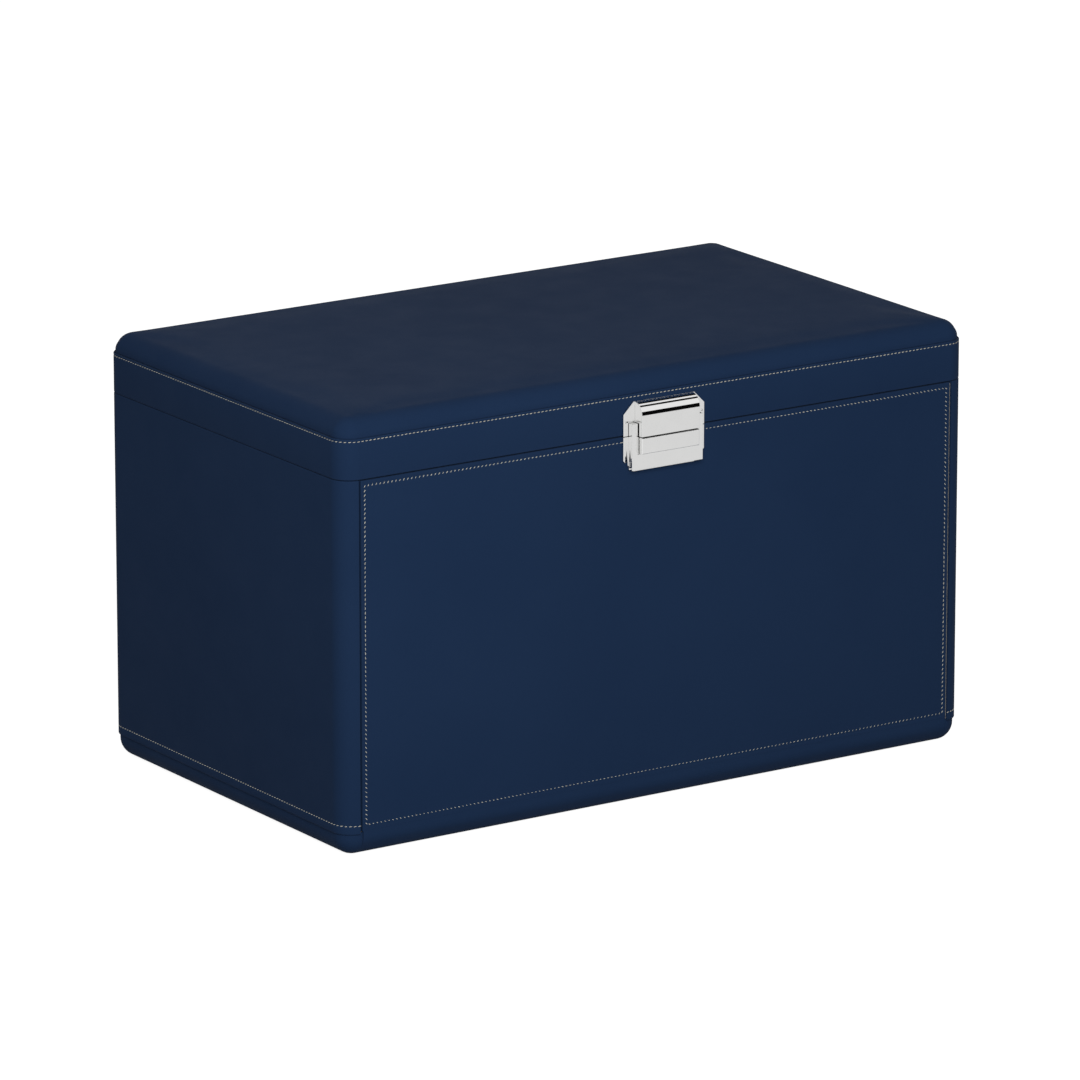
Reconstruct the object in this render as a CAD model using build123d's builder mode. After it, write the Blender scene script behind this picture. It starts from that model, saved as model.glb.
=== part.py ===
from build123d import *

import os

# A drop-front leather jewellery case. Millimetres, +Z up, the front faces -Y,
# and the origin is the middle of the base where the case rests.

os.makedirs("parts", exist_ok=True)

# Envelope
case_width = 380.0
case_depth = 225.0
case_height = 225.0
corner_radius = 11.0  # upright corners of the case
base_height = 12.8  # top of the base cap, foot of the walls and of the flap
lid_height = 31.3  # from the middle of the joint between lid and body
seam_height = case_height - lid_height
seam_gap = 0.6

# Materials
leather = 1.2
board = 8.0
suede = 0.6
base_inset = 1.2  # the base cap stands in from the walls
base_round = 9.5  # rounded foot of the base cap
turn_in = 24.0  # edge of the leather glued under the base, in from the walls
loose = 0.3  # clearance round soft parts and between fitted pieces
slip = 0.1  # clearance of a board in its groove

# Flap
flap_side_gap = 1.2
flap_foot_gap = 0.4
flap_top_gap = 0.9  # the flap's inner top edge rises 0.3 as it turns
edge_round = 1.5  # leather turned over a board's edge
hinge_leather_drop = 3.3

# Interior
shelf_thickness = 4.0
cubby_height = 43.0
tray_depth = 47.0  # from its floor to the top of the body
groove = 3.0  # depth the shelves are let into the side boards
tray_board = 6.0
tray_clear = 1.2  # top of the tray front below the lid's rim
pad = 1.0

# Drawers
drawer_recess = 12.0
drawer_front_thickness = 6.0
drawer_gap = 0.6  # around a drawer front
drawer_wall = 5.0
drawer_floor = 3.0
drawer_side_clear = 1.6
drawer_back_clear = 5.0
drawer_wall_drop = 4.0  # box walls below the top of the front
pull_radius = 6.0
pull_stem_radius = 2.5
pull_length = 9.0
pull_spacing = 150.0

# Tray fittings
divider = 4.0
divider_height = 36.0
ring_zone = 118.0
roll_count = 10
roll_height = 24.0
short_divider_x = 60.0
cross_divider_y = 10.0

# Lid
band_rise = 1.2  # the band's free edge above the lid's rails
lid_top_rise = 10.9  # padded top above the lid's rails
lid_rail_top = case_height - lid_top_rise
lid_board = 4.0
cap_inset = 1.25
cap_round = 9.3
cap_leather = 1.2
mirror_width = 262.0
mirror_depth = 146.0
mirror_thickness = 3.0
mirror_frame_width = 9.0
mirror_lip = 1.2
mirror_cover = 3.0  # frame over the edge of the glass

# Lid hinges
hinge_spacing = 230.0
hinge_length = 40.0
knuckle_count = 3
knuckle_radius = 2.6
knuckle_play = 0.2
pin_radius = 1.2
pin_play = 0.05
barrel_stand_off = 0.3
leaf_reach = 8.0

# Clasp, measured out from the leather of the front and up from the seam
clasp_width = 49.0
clasp_plate = 1.6
clasp_corner = 6.1
plate_foot = seam_height - 18.7
plate_top = seam_height + 17.3
head_margin = 6.85  # head in from the plate's sides
head_width = clasp_width - 2 * head_margin
head_depth = 7.9
frame_margin = 3.0  # frame in from the plate's sides
frame_width = clasp_width - 2 * frame_margin
frame_depth = 4.9
frame_wall = 0.8
frame_foot = seam_height - 17.4
frame_sill = seam_height - 9.4
upright_width = 3.4
ledge_height = seam_height + 6.6
pin_hole_radius = 0.6
pin_hole_margin = 1.4
pin_hole_x = clasp_width / 2 - pin_hole_margin
pin_hole_height = seam_height + 7.2
clasp_play = 0.25  # clearance between the clasp's pieces
edge_break = 0.3
notch_margin = 2.0  # relief notches in the lower plate
notch_x = clasp_width / 2 - notch_margin
notch_width = 2.0
notch_top = seam_height - 7.2
relief_depth = 2.0  # open lower corners of the frame, seen from the side
relief_wall = 0.4
relief_back = 2.3
relief_rise = 6.6
relief_slope = 2.8

# Push bar and catch
bar_travel = 1.4
bar_flange = 0.7
bar_overlap = 1.3  # flange behind the frame's edges
bar_top_gap = 0.5
bar_side_play = 0.45
pocket_width = 8.8
pocket_front_wall = 1.1
yoke_width = 12.0
yoke_wall = 1.0
yoke_foot = seam_height - 7.1
tooth_reach = 0.5
tooth_height = 1.5
tooth_foot = seam_height - 3.5
hook_width = 7.0
hook_thickness = 1.0
hook_foot = seam_height - 6.1
hook_reach = 0.6
hook_toe = 1.8
hook_tenon = 6.0  # let up into the head
catch_gap = 0.2  # drawn free of the hook so that lid and flap each turn alone
spring_x = 12.0
spring_height = seam_height - 5.7
spring_radius = 1.3
spring_wire = 0.2  # half the square wire
spring_turns = 3
spring_bore = 1.7
spring_bore_end = 5.9
spring_boss = 0.9
spring_boss_height = 0.8
screw_radius = 1.25
screw_head_radius = 2.6
screw_head = 1.6
screw_grip = 1.0

# Places that follow from the sizes above
half_width = case_width / 2
half_depth = case_depth / 2
front = -half_depth
back = half_depth
wall = leather + board + suede
inner_x = half_width - wall
inner_back = back - wall
body_top = seam_height - seam_gap / 2
board_top = body_top - leather
lid_foot = seam_height + seam_gap / 2

flap_x = inner_x - flap_side_gap
flap_foot = base_height + flap_foot_gap
flap_top = lid_foot - flap_top_gap
flap_inside = front + wall
interior_front = flap_inside + 2 * loose

inside_height = body_top - base_height
drawer_bay = (inside_height - suede - cubby_height - tray_depth) / 2 - 1.5 * shelf_thickness
shelf_one = base_height + suede + cubby_height
shelf_two = shelf_one + shelf_thickness + drawer_bay
tray_deck_foot = shelf_two + shelf_thickness + drawer_bay
tray_floor = tray_deck_foot + shelf_thickness
tray_top = body_top - tray_clear
drawer_face = flap_inside + drawer_recess

lid_inside_top = lid_rail_top - suede
hinge_axis_y = back + barrel_stand_off + knuckle_radius
clasp_half = clasp_width / 2
hook_half = hook_width / 2


def finish(piece, name):
    """Label a finished piece and write its STEP file."""
    piece.part.label = name
    export_step(piece.part, f"parts/{name}.step")


def middle(span):
    return (span[0] + span[1]) / 2


def length(span):
    return span[1] - span[0]


def plain_board(x_span, y_span, z_span):
    """A board with square edges between the given limits."""
    with BuildPart() as piece:
        with BuildSketch(Plane.XY.offset(z_span[0])):
            with Locations((middle(x_span), middle(y_span))):
                Rectangle(length(x_span), length(y_span))
        extrude(amount=length(z_span))
    return piece


def plan_outline(inset):
    """Plan of the case with its rounded corners, drawn in by an inset."""
    RectangleRounded(case_width - 2 * inset, case_depth - 2 * inset, corner_radius - inset)


def front_plane(stand_off):
    """Upright plane that far out from the front leather, facing outwards."""
    return Plane.XZ.offset(-front + stand_off)


def turned_edge():
    """The line where the leather glued under the base ends."""
    Rectangle(case_width - 2 * turn_in, case_depth - 2 * turn_in)


# ---------------------------------------------------------------- base

base_core_inset = base_inset + leather

with BuildPart() as base_board:
    with BuildSketch(Plane.XY.offset(leather)):
        plan_outline(base_core_inset)
    extrude(amount=base_height - leather)
    fillet(base_board.edges().group_by(Axis.Z)[0], radius=base_round - leather)
finish(base_board, "base_board")

with BuildPart() as base_leather:
    with BuildSketch():
        plan_outline(base_inset)
    extrude(amount=base_height)
    fillet(base_leather.edges().group_by(Axis.Z)[0], radius=base_round)
    add(base_board.part, mode=Mode.SUBTRACT)
    with BuildSketch():
        turned_edge()
    extrude(amount=leather, mode=Mode.SUBTRACT)
finish(base_leather, "base_leather")

with BuildPart() as base_felt:
    with BuildSketch():
        turned_edge()
        offset(amount=-loose)
    extrude(amount=leather)
finish(base_felt, "base_felt")

# ---------------------------------------------------------------- carcass

side_board_x = (inner_x + suede, half_width - leather)
back_board_y = (inner_back + suede, back - leather)
shelf_levels = (shelf_one, shelf_two, tray_deck_foot)
shelf_y = (interior_front, inner_back)
shelf_half = side_board_x[0] + groove


def cut_shelf_grooves():
    """Let the shelves into the current part, with a little play."""
    for level in shelf_levels:
        with BuildSketch(Plane.XY.offset(level - slip / 2)) as outline:
            with Locations((0, middle((interior_front - slip, inner_back)))):
                Rectangle(2 * (shelf_half + slip), inner_back - interior_front + slip)
        extrude(outline.sketch, amount=shelf_thickness + slip, mode=Mode.SUBTRACT)


for side, name in ((-1, "left_side_board"), (1, "right_side_board")):
    with BuildPart() as side_board:
        with BuildSketch(Plane.XY.offset(base_height)):
            plan_outline(leather)
            with Locations((side * middle(side_board_x), 0)):
                Rectangle(length(side_board_x), case_depth, mode=Mode.INTERSECT)
        extrude(amount=board_top - base_height)
        cut_shelf_grooves()
    finish(side_board, name)

with BuildPart() as back_board:
    with BuildSketch(Plane.XY.offset(base_height)):
        plan_outline(leather)
        with Locations((0, middle(back_board_y))):
            Rectangle(2 * side_board_x[0], length(back_board_y), mode=Mode.INTERSECT)
    extrude(amount=board_top - base_height)
finish(back_board, "back_board")

with BuildPart() as interior_lining:
    with BuildSketch(Plane.XY.offset(base_height)):
        plan_outline(leather)
        with Locations((0, middle((front, back_board_y[0])))):
            Rectangle(2 * side_board_x[0], back_board_y[0] - front, mode=Mode.INTERSECT)
        with Locations((0, middle((front, inner_back)))):
            Rectangle(2 * inner_x, inner_back - front, mode=Mode.SUBTRACT)
    extrude(amount=board_top - base_height)
    cut_shelf_grooves()
finish(interior_lining, "interior_lining")

hinge_centres = (-hinge_spacing / 2, hinge_spacing / 2)
leaf_y = (back - leaf_reach, back - slip)
rim_chamfer = leather / 2


def body_opening(grown):
    """Plan of the space between the walls, open to the front."""
    with Locations((0, middle((front - board, inner_back)))):
        Rectangle(2 * (inner_x + grown), inner_back - front + board + 2 * grown)


with BuildPart() as body_leather:
    with BuildSketch(Plane.XY.offset(base_height)):
        plan_outline(0)
    extrude(amount=body_top - base_height)
    chamfer(body_leather.edges().group_by(Axis.Z)[-1], length=rim_chamfer)
    with BuildSketch(Plane.XY.offset(base_height)):
        body_opening(0)
    extrude(amount=body_top - base_height, mode=Mode.SUBTRACT)
    with BuildSketch(Plane.XY.offset(body_top)):
        body_opening(rim_chamfer)
    extrude(amount=-rim_chamfer, taper=45, mode=Mode.SUBTRACT)
    with BuildSketch(Plane.XY.offset(base_height)):
        plan_outline(leather)
    extrude(amount=board_top - base_height, mode=Mode.SUBTRACT)
    for x in hinge_centres:
        with BuildSketch(Plane.XY.offset(board_top)):
            with Locations((x, middle((leaf_y[0], back + leather)))):
                Rectangle(hinge_length + 2 * slip, back + leather - leaf_y[0] + 2 * slip)
        extrude(amount=2 * leather, mode=Mode.SUBTRACT)
finish(body_leather, "body_leather")

for level, name in zip(shelf_levels, ("lower_shelf", "upper_shelf", "tray_deck")):
    shelf = plain_board((-shelf_half, shelf_half), shelf_y, (level, level + shelf_thickness))
    finish(shelf, name)

cubby_pad = plain_board(
    (-inner_x + loose, inner_x - loose),
    (interior_front, inner_back - loose),
    (base_height, base_height + suede),
)
finish(cubby_pad, "cubby_pad")

# ---------------------------------------------------------------- tray under the lid

tray_y = (interior_front + tray_board, inner_back)

tray_front_board = plain_board((-inner_x, inner_x), (interior_front, tray_y[0]), (tray_floor, tray_top))
finish(tray_front_board, "tray_front_board")

tray_pad = plain_board(
    (-inner_x + loose, inner_x - loose),
    (tray_y[0] + loose, tray_y[1] - loose),
    (tray_floor, tray_floor + pad),
)
finish(tray_pad, "tray_pad")

divider_z = (tray_floor + pad, tray_floor + pad + divider_height)
long_divider_x = (ring_zone - inner_x, ring_zone - inner_x + divider)
cross_divider_span = (cross_divider_y - divider / 2, cross_divider_y + divider / 2)
short_divider_span = (short_divider_x - divider / 2, short_divider_x + divider / 2)

long_divider = plain_board(long_divider_x, tray_y, divider_z)
finish(long_divider, "long_divider")
cross_divider = plain_board((long_divider_x[1], inner_x), cross_divider_span, divider_z)
finish(cross_divider, "cross_divider")
short_divider = plain_board(short_divider_span, (cross_divider_span[1], tray_y[1]), divider_z)
finish(short_divider, "short_divider")

roll_pitch = (length(tray_y) - loose) / roll_count
roll_width = roll_pitch - loose
roll_length = ring_zone - 2 * loose
roll_foot = tray_floor + pad
roll_crown = roll_foot + roll_height - roll_width / 2

with BuildPart() as ring_rolls:
    with BuildSketch(Plane.YZ.offset(-inner_x + loose)):
        with Locations((middle(tray_y), roll_foot)):
            with GridLocations(roll_pitch, 0, roll_count, 1):
                Rectangle(roll_width, roll_crown - roll_foot, align=(Align.CENTER, Align.MIN))
        with Locations((middle(tray_y), roll_crown)):
            with GridLocations(roll_pitch, 0, roll_count, 1):
                Circle(roll_width / 2)
    extrude(amount=roll_length)
finish(ring_rolls, "ring_rolls")

# ---------------------------------------------------------------- drawers

drawer_front_y = (drawer_face, drawer_face + drawer_front_thickness)
drawer_box_y = (drawer_front_y[1], inner_back - drawer_back_clear)
drawer_box_half = inner_x - drawer_side_clear
drawer_inside_half = drawer_box_half - drawer_wall
drawer_inside_y = (drawer_box_y[0] + drawer_wall, drawer_box_y[1] - drawer_wall)
drawer_divider_x = drawer_inside_half / 3
drawer_box_height = drawer_bay - loose - drawer_wall_drop

drawer_bays = ((shelf_one + shelf_thickness, "lower_drawer"), (shelf_two + shelf_thickness, "upper_drawer"))

for bay_foot, name in drawer_bays:
    box_foot = bay_foot + loose
    floor_top = box_foot + drawer_floor
    pad_top = floor_top + pad
    box_top = box_foot + drawer_box_height - loose

    with BuildPart() as drawer_front:
        with BuildSketch(Plane.XZ.offset(-drawer_front_y[1])):
            with Locations((0, bay_foot + drawer_bay / 2)):
                Rectangle(2 * (inner_x - drawer_gap), drawer_bay - 2 * drawer_gap)
        extrude(amount=drawer_front_thickness)
        fillet(drawer_front.faces().sort_by(Axis.Y)[0].edges(), radius=edge_round)
    finish(drawer_front, f"{name}_front")

    with BuildPart() as drawer_box:
        with BuildSketch(Plane.XY.offset(box_foot)):
            with Locations((0, middle(drawer_box_y))):
                Rectangle(2 * drawer_box_half, length(drawer_box_y))
        extrude(amount=box_top - box_foot)
        with BuildSketch(Plane.XY.offset(floor_top)):
            with Locations((0, middle(drawer_inside_y))):
                Rectangle(2 * drawer_inside_half, length(drawer_inside_y))
        extrude(amount=box_top - floor_top, mode=Mode.SUBTRACT)
    finish(drawer_box, f"{name}_box")

    drawer_pad = plain_board(
        (-drawer_inside_half + loose, drawer_inside_half - loose),
        (drawer_inside_y[0] + loose, drawer_inside_y[1] - loose),
        (floor_top, pad_top),
    )
    finish(drawer_pad, f"{name}_pad")

    with BuildPart() as drawer_dividers:
        with BuildSketch(Plane.XY.offset(pad_top)):
            with Locations((0, middle(drawer_inside_y))):
                with GridLocations(2 * drawer_divider_x, 0, 2, 1):
                    Rectangle(divider, length(drawer_inside_y))
        extrude(amount=box_top - pad_top - drawer_wall_drop)
    finish(drawer_dividers, f"{name}_dividers")

    with BuildPart() as drawer_pulls:
        with BuildSketch(Plane.XZ.offset(-drawer_face)):
            with Locations((0, bay_foot + drawer_bay / 2)):
                with GridLocations(pull_spacing, 0, 2, 1):
                    Circle(pull_stem_radius)
        extrude(amount=pull_length / 2)
        with BuildSketch(Plane.XZ.offset(-drawer_face + pull_length / 2)):
            with Locations((0, bay_foot + drawer_bay / 2)):
                with GridLocations(pull_spacing, 0, 2, 1):
                    Circle(pull_radius)
        extrude(amount=pull_length / 2)
        chamfer(drawer_pulls.edges().filter_by(GeomType.CIRCLE).group_by(Axis.Y)[0], length=edge_round)
    finish(drawer_pulls, f"{name}_pulls")

# ---------------------------------------------------------------- lid

lid_half_y = half_depth - wall
rail_z = (lid_foot + leather, lid_rail_top)

for side, name in ((-1, "lid_left_rail"), (1, "lid_right_rail")):
    with BuildPart() as lid_rail:
        with BuildSketch(Plane.XY.offset(rail_z[0])):
            plan_outline(leather)
            with Locations((side * middle(side_board_x), 0)):
                Rectangle(length(side_board_x), case_depth, mode=Mode.INTERSECT)
        extrude(amount=length(rail_z))
    finish(lid_rail, name)


def cross_rail_outline(side):
    """Plan of the lid's back rail (1) or front rail (-1)."""
    plan_outline(leather)
    with Locations((0, side * middle(back_board_y))):
        Rectangle(2 * side_board_x[0], length(back_board_y), mode=Mode.INTERSECT)


with BuildPart() as lid_back_rail:
    with BuildSketch(Plane.XY.offset(rail_z[0])):
        cross_rail_outline(1)
    extrude(amount=length(rail_z))
finish(lid_back_rail, "lid_back_rail")

head_screw_x = head_width / 4
head_screw_z = (lid_foot + plate_top) / 2


def clasp_screw_holes(x, z):
    """Clearance holes for two screws, with seats for their heads on the inner side."""
    with BuildSketch(front_plane(0)) as outline:
        with Locations((-x, z), (x, z)):
            Circle(screw_radius + slip)
    extrude(outline.sketch, amount=-leather - board, mode=Mode.SUBTRACT)
    with BuildSketch(front_plane(-leather - board)) as outline:
        with Locations((-x, z), (x, z)):
            Circle(screw_head_radius + slip)
    extrude(outline.sketch, amount=screw_head + slip, mode=Mode.SUBTRACT)


with BuildPart() as lid_front_rail:
    with BuildSketch(Plane.XY.offset(rail_z[0])):
        cross_rail_outline(-1)
    extrude(amount=length(rail_z))
    clasp_screw_holes(head_screw_x, head_screw_z)
finish(lid_front_rail, "lid_front_rail")

with BuildPart() as lid_band_leather:
    with BuildSketch(Plane.XY.offset(lid_foot)):
        plan_outline(0)
        Rectangle(2 * inner_x, 2 * lid_half_y, mode=Mode.SUBTRACT)
    extrude(amount=lid_rail_top + band_rise - lid_foot)
    chamfer(lid_band_leather.edges().group_by(Axis.Z)[0], length=leather / 2)
    with BuildSketch(Plane.XY.offset(rail_z[0])):
        plan_outline(leather)
    extrude(amount=case_height - rail_z[0], mode=Mode.SUBTRACT)
    chamfer(lid_band_leather.edges().group_by(Axis.Z)[-1], length=leather / 3)
    for x in hinge_centres:
        with BuildSketch(Plane.XY.offset(lid_foot - leather)):
            with Locations((x, middle((leaf_y[0], back + leather)))):
                Rectangle(hinge_length + 2 * slip, back + leather - leaf_y[0] + 2 * slip)
        extrude(amount=2 * leather, mode=Mode.SUBTRACT)
    clasp_screw_holes(head_screw_x, head_screw_z)
finish(lid_band_leather, "lid_band_leather")

lid_core_inset = cap_inset + cap_leather

with BuildPart() as lid_top_board:
    with BuildSketch(Plane.XY.offset(lid_rail_top)):
        plan_outline(lid_core_inset + 2 * loose)
    extrude(amount=lid_board)
finish(lid_top_board, "lid_top_board")

with BuildPart() as lid_padding:
    with BuildSketch(Plane.XY.offset(lid_rail_top)):
        plan_outline(lid_core_inset + loose)
    extrude(amount=case_height - cap_leather - loose - lid_rail_top)
    chamfer(lid_padding.edges().group_by(Axis.Z)[-1], length=cap_round - cap_leather - loose)
    with BuildSketch(Plane.XY.offset(lid_rail_top)):
        plan_outline(0)
    extrude(amount=lid_board, mode=Mode.SUBTRACT)
finish(lid_padding, "lid_padding")

with BuildPart() as lid_cap_leather:
    with BuildSketch(Plane.XY.offset(lid_rail_top)):
        plan_outline(cap_inset)
    extrude(amount=case_height - lid_rail_top)
    fillet(lid_cap_leather.edges().group_by(Axis.Z)[-1], radius=cap_round)
    underside = lid_cap_leather.faces().sort_by(Axis.Z)[0]
    offset(amount=-cap_leather, openings=underside)
finish(lid_cap_leather, "lid_cap_leather")

with BuildPart() as lid_lining:
    with BuildSketch(Plane.XY.offset(rail_z[0])):
        Rectangle(2 * side_board_x[0], 2 * back_board_y[0])
    extrude(amount=length(rail_z))
    with BuildSketch(Plane.XY.offset(rail_z[0])):
        Rectangle(2 * inner_x, 2 * lid_half_y)
    extrude(amount=lid_inside_top - rail_z[0], mode=Mode.SUBTRACT)
finish(lid_lining, "lid_lining")

mirror = plain_board(
    (-mirror_width / 2, mirror_width / 2),
    (-mirror_depth / 2, mirror_depth / 2),
    (lid_inside_top - mirror_thickness, lid_inside_top),
)
finish(mirror, "mirror")

with BuildPart() as mirror_frame:
    with BuildSketch(Plane.XY.offset(lid_inside_top - mirror_thickness - mirror_lip)):
        Rectangle(mirror_width + 2 * mirror_frame_width, mirror_depth + 2 * mirror_frame_width)
    extrude(amount=mirror_thickness + mirror_lip)
    fillet(mirror_frame.edges().group_by(Axis.Z)[0], radius=edge_round / 2)
    with BuildSketch(Plane.XY.offset(lid_inside_top - mirror_thickness)):
        Rectangle(mirror_width + 2 * slip, mirror_depth + 2 * slip)
    extrude(amount=mirror_thickness, mode=Mode.SUBTRACT)
    with BuildSketch(Plane.XY.offset(lid_inside_top - mirror_thickness - mirror_lip)):
        Rectangle(mirror_width - 2 * mirror_cover, mirror_depth - 2 * mirror_cover)
    extrude(amount=mirror_lip, mode=Mode.SUBTRACT)
finish(mirror_frame, "mirror_frame")

# ---------------------------------------------------------------- lid hinges

knuckle_pitch = hinge_length / knuckle_count
knuckle_length = knuckle_pitch - knuckle_play
body_knuckles = range(0, knuckle_count, 2)
lid_knuckles = range(1, knuckle_count, 2)


def hinge_leaf(x, foot, knuckles):
    """One leaf in the leather's rim, with its share of the knuckles."""
    for number in knuckles:
        knuckle_x = x - hinge_length / 2 + (number + 0.5) * knuckle_pitch
        with BuildSketch(Plane.XY.offset(foot)) as outline:
            with Locations((knuckle_x, middle((leaf_y[1], hinge_axis_y)))):
                Rectangle(knuckle_length, hinge_axis_y - leaf_y[1])
        extrude(outline.sketch, amount=leather)
        with BuildSketch(Plane.YZ.offset(knuckle_x - knuckle_length / 2)) as outline:
            with Locations((hinge_axis_y, seam_height)):
                Circle(knuckle_radius)
        extrude(outline.sketch, amount=knuckle_length)
    with BuildSketch(Plane.XY.offset(foot)) as outline:
        with Locations((x, middle(leaf_y))):
            Rectangle(hinge_length, length(leaf_y))
    extrude(outline.sketch, amount=leather)
    with BuildSketch(Plane.YZ.offset(x - hinge_length / 2)) as outline:
        with Locations((hinge_axis_y, seam_height)):
            Circle(pin_radius + pin_play)
    extrude(outline.sketch, amount=hinge_length, mode=Mode.SUBTRACT)


with BuildPart() as hinge_body_leaves:
    for x in hinge_centres:
        hinge_leaf(x, board_top, body_knuckles)
finish(hinge_body_leaves, "hinge_body_leaves")

with BuildPart() as hinge_lid_leaves:
    for x in hinge_centres:
        hinge_leaf(x, lid_foot, lid_knuckles)
finish(hinge_lid_leaves, "hinge_lid_leaves")

with BuildPart() as hinge_pins:
    for x in hinge_centres:
        with BuildSketch(Plane.YZ.offset(x - hinge_length / 2)):
            with Locations((hinge_axis_y, seam_height)):
                Circle(pin_radius)
        extrude(amount=hinge_length)
finish(hinge_pins, "hinge_pins")

# ---------------------------------------------------------------- flap

plate_screw_x = frame_width / 3
plate_screw_z = (frame_foot + frame_sill - bar_overlap) / 2

with BuildPart() as flap_board:
    with BuildSketch(front_plane(-leather)):
        with Locations((0, middle((flap_foot, flap_top - leather)))):
            Rectangle(2 * (flap_x - leather), flap_top - leather - flap_foot)
    extrude(amount=-board)
    clasp_screw_holes(plate_screw_x, plate_screw_z)
finish(flap_board, "flap_board")

with BuildPart() as flap_leather:
    with BuildSketch(front_plane(-leather - board)):
        with Locations((0, middle((flap_foot, flap_top)))):
            Rectangle(2 * flap_x, flap_top - flap_foot)
    extrude(amount=leather + board)
    front_edges = flap_leather.faces().sort_by(Axis.Y)[0].edges().sort_by(Axis.Z)[1:]
    fillet(front_edges, radius=edge_round)
    with BuildSketch(front_plane(-leather)):
        with Locations((0, middle((flap_foot, flap_top - leather)))):
            Rectangle(2 * (flap_x - leather), flap_top - leather - flap_foot)
    extrude(amount=-board, mode=Mode.SUBTRACT)
    clasp_screw_holes(plate_screw_x, plate_screw_z)
finish(flap_leather, "flap_leather")

with BuildPart() as flap_lining:
    with BuildSketch(front_plane(-leather - board - suede)):
        with Locations((0, middle((flap_foot, flap_top)))):
            Rectangle(2 * flap_x - board, flap_top - flap_foot - board)
    extrude(amount=suede)
finish(flap_lining, "flap_lining")

with BuildPart() as hinge_leather:
    with BuildSketch(Plane.XY.offset(base_height - hinge_leather_drop)):
        with Locations((0, front + base_inset / 2)):
            Rectangle(2 * flap_x, base_inset)
    extrude(amount=hinge_leather_drop + flap_foot_gap / 2)
finish(hinge_leather, "hinge_leather")

# ---------------------------------------------------------------- clasp

frame_half = frame_width / 2
opening_half = frame_half - upright_width
opening_x = (-opening_half, opening_half)
pocket_x = (-pocket_width / 2, pocket_width / 2)
hook_x = (-hook_half, hook_half)
cavity_half = opening_half + bar_overlap + loose
cavity_foot = frame_sill - bar_overlap - loose
cavity_top = seam_height - slip
cavity_front = frame_depth - frame_wall
slab_foot = frame_sill + clasp_play
slab_top = seam_height - bar_top_gap
slab_half = opening_half - clasp_play - bar_side_play
flange_front = cavity_front - slip
flange_back = flange_front - bar_flange
yoke_back = clasp_plate + loose
pocket_back = yoke_back + yoke_wall
pocket_front = head_depth - pocket_front_wall
pocket_foot = hook_foot - clasp_play
tooth_face = pocket_back + tooth_reach
toe_back = tooth_face + catch_gap
hook_back = toe_back + hook_reach
hook_front = hook_back + hook_thickness
hook_top = seam_height + hook_tenon


def block(x_span, out_span, z_span, mode=Mode.ADD):
    """A straight block of the clasp, with its depth measured out from the leather."""
    with BuildSketch(front_plane(out_span[0])) as outline:
        with Locations((middle(x_span), middle(z_span))):
            Rectangle(length(x_span), length(z_span))
    extrude(outline.sketch, amount=length(out_span), mode=mode)


def clasp_screw_threads(x, z, out_end):
    """Tapped holes for the two screws, modelled at their nominal size plus play."""
    with BuildSketch(front_plane(0)) as outline:
        with Locations((-x, z), (x, z)):
            Circle(screw_radius + pin_play)
    extrude(outline.sketch, amount=out_end, mode=Mode.SUBTRACT)


def clasp_screws(x, z):
    """Two screws put in from the lined side."""
    with BuildSketch(front_plane(-leather - board + slip)) as outline:
        with Locations((-x, z), (x, z)):
            Circle(screw_head_radius)
    extrude(outline.sketch, amount=screw_head - slip)
    with BuildSketch(front_plane(-leather - board + screw_head)) as outline:
        with Locations((-x, z), (x, z)):
            Circle(screw_radius)
    extrude(outline.sketch, amount=leather + board - screw_head + clasp_plate + screw_grip)


with BuildPart() as head_plate:
    with BuildSketch(front_plane(0)):
        with BuildLine():
            Polyline(
                (-clasp_half, lid_foot),
                (clasp_half, lid_foot),
                (clasp_half, plate_top - clasp_corner),
                (clasp_half - clasp_corner, plate_top),
                (-clasp_half + clasp_corner, plate_top),
                (-clasp_half, plate_top - clasp_corner),
                close=True,
            )
        make_face()
    extrude(amount=clasp_plate)
    with BuildSketch(front_plane(clasp_plate)):
        with Locations((-pin_hole_x, pin_hole_height), (pin_hole_x, pin_hole_height)):
            Circle(pin_hole_radius)
    extrude(amount=-clasp_plate / 2, mode=Mode.SUBTRACT)
    clasp_screw_threads(head_screw_x, head_screw_z, clasp_plate)
finish(head_plate, "head_plate")

head_round = head_depth - clasp_plate

with BuildPart() as clasp_head:
    with BuildSketch(Plane.YZ.offset(-head_width / 2)):
        with BuildLine():
            Polyline(
                (front - clasp_plate, plate_top),
                (front - clasp_plate, seam_height),
                (front - head_depth, seam_height),
                (front - head_depth, plate_top - head_round),
            )
            CenterArc((front - clasp_plate, plate_top - head_round), head_round, 90, 90)
        make_face()
    extrude(amount=head_width)
    chamfer(clasp_head.faces().sort_by(Axis.Y)[0].edges().sort_by(Axis.Z)[0], length=edge_break)
    clasp_screw_threads(head_screw_x, head_screw_z, clasp_plate + screw_grip + slip)
    block(
        (-hook_half - pin_play, hook_half + pin_play),
        (hook_back - pin_play, hook_front + pin_play),
        (seam_height, hook_top + pin_play),
        Mode.SUBTRACT,
    )
finish(clasp_head, "clasp_head")

with BuildPart() as clasp_striker:
    block(hook_x, (hook_back, hook_front), (hook_foot, hook_top))
    block(hook_x, (toe_back, hook_back), (hook_foot, hook_foot + hook_toe))
    toe_edge = clasp_striker.faces().sort_by(Axis.Y)[-1].edges().sort_by(Axis.Z)[0]
    chamfer(toe_edge, length=hook_reach - slip)
finish(clasp_striker, "clasp_striker")

with BuildPart() as head_screws:
    clasp_screws(head_screw_x, head_screw_z)
finish(head_screws, "head_screws")

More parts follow.
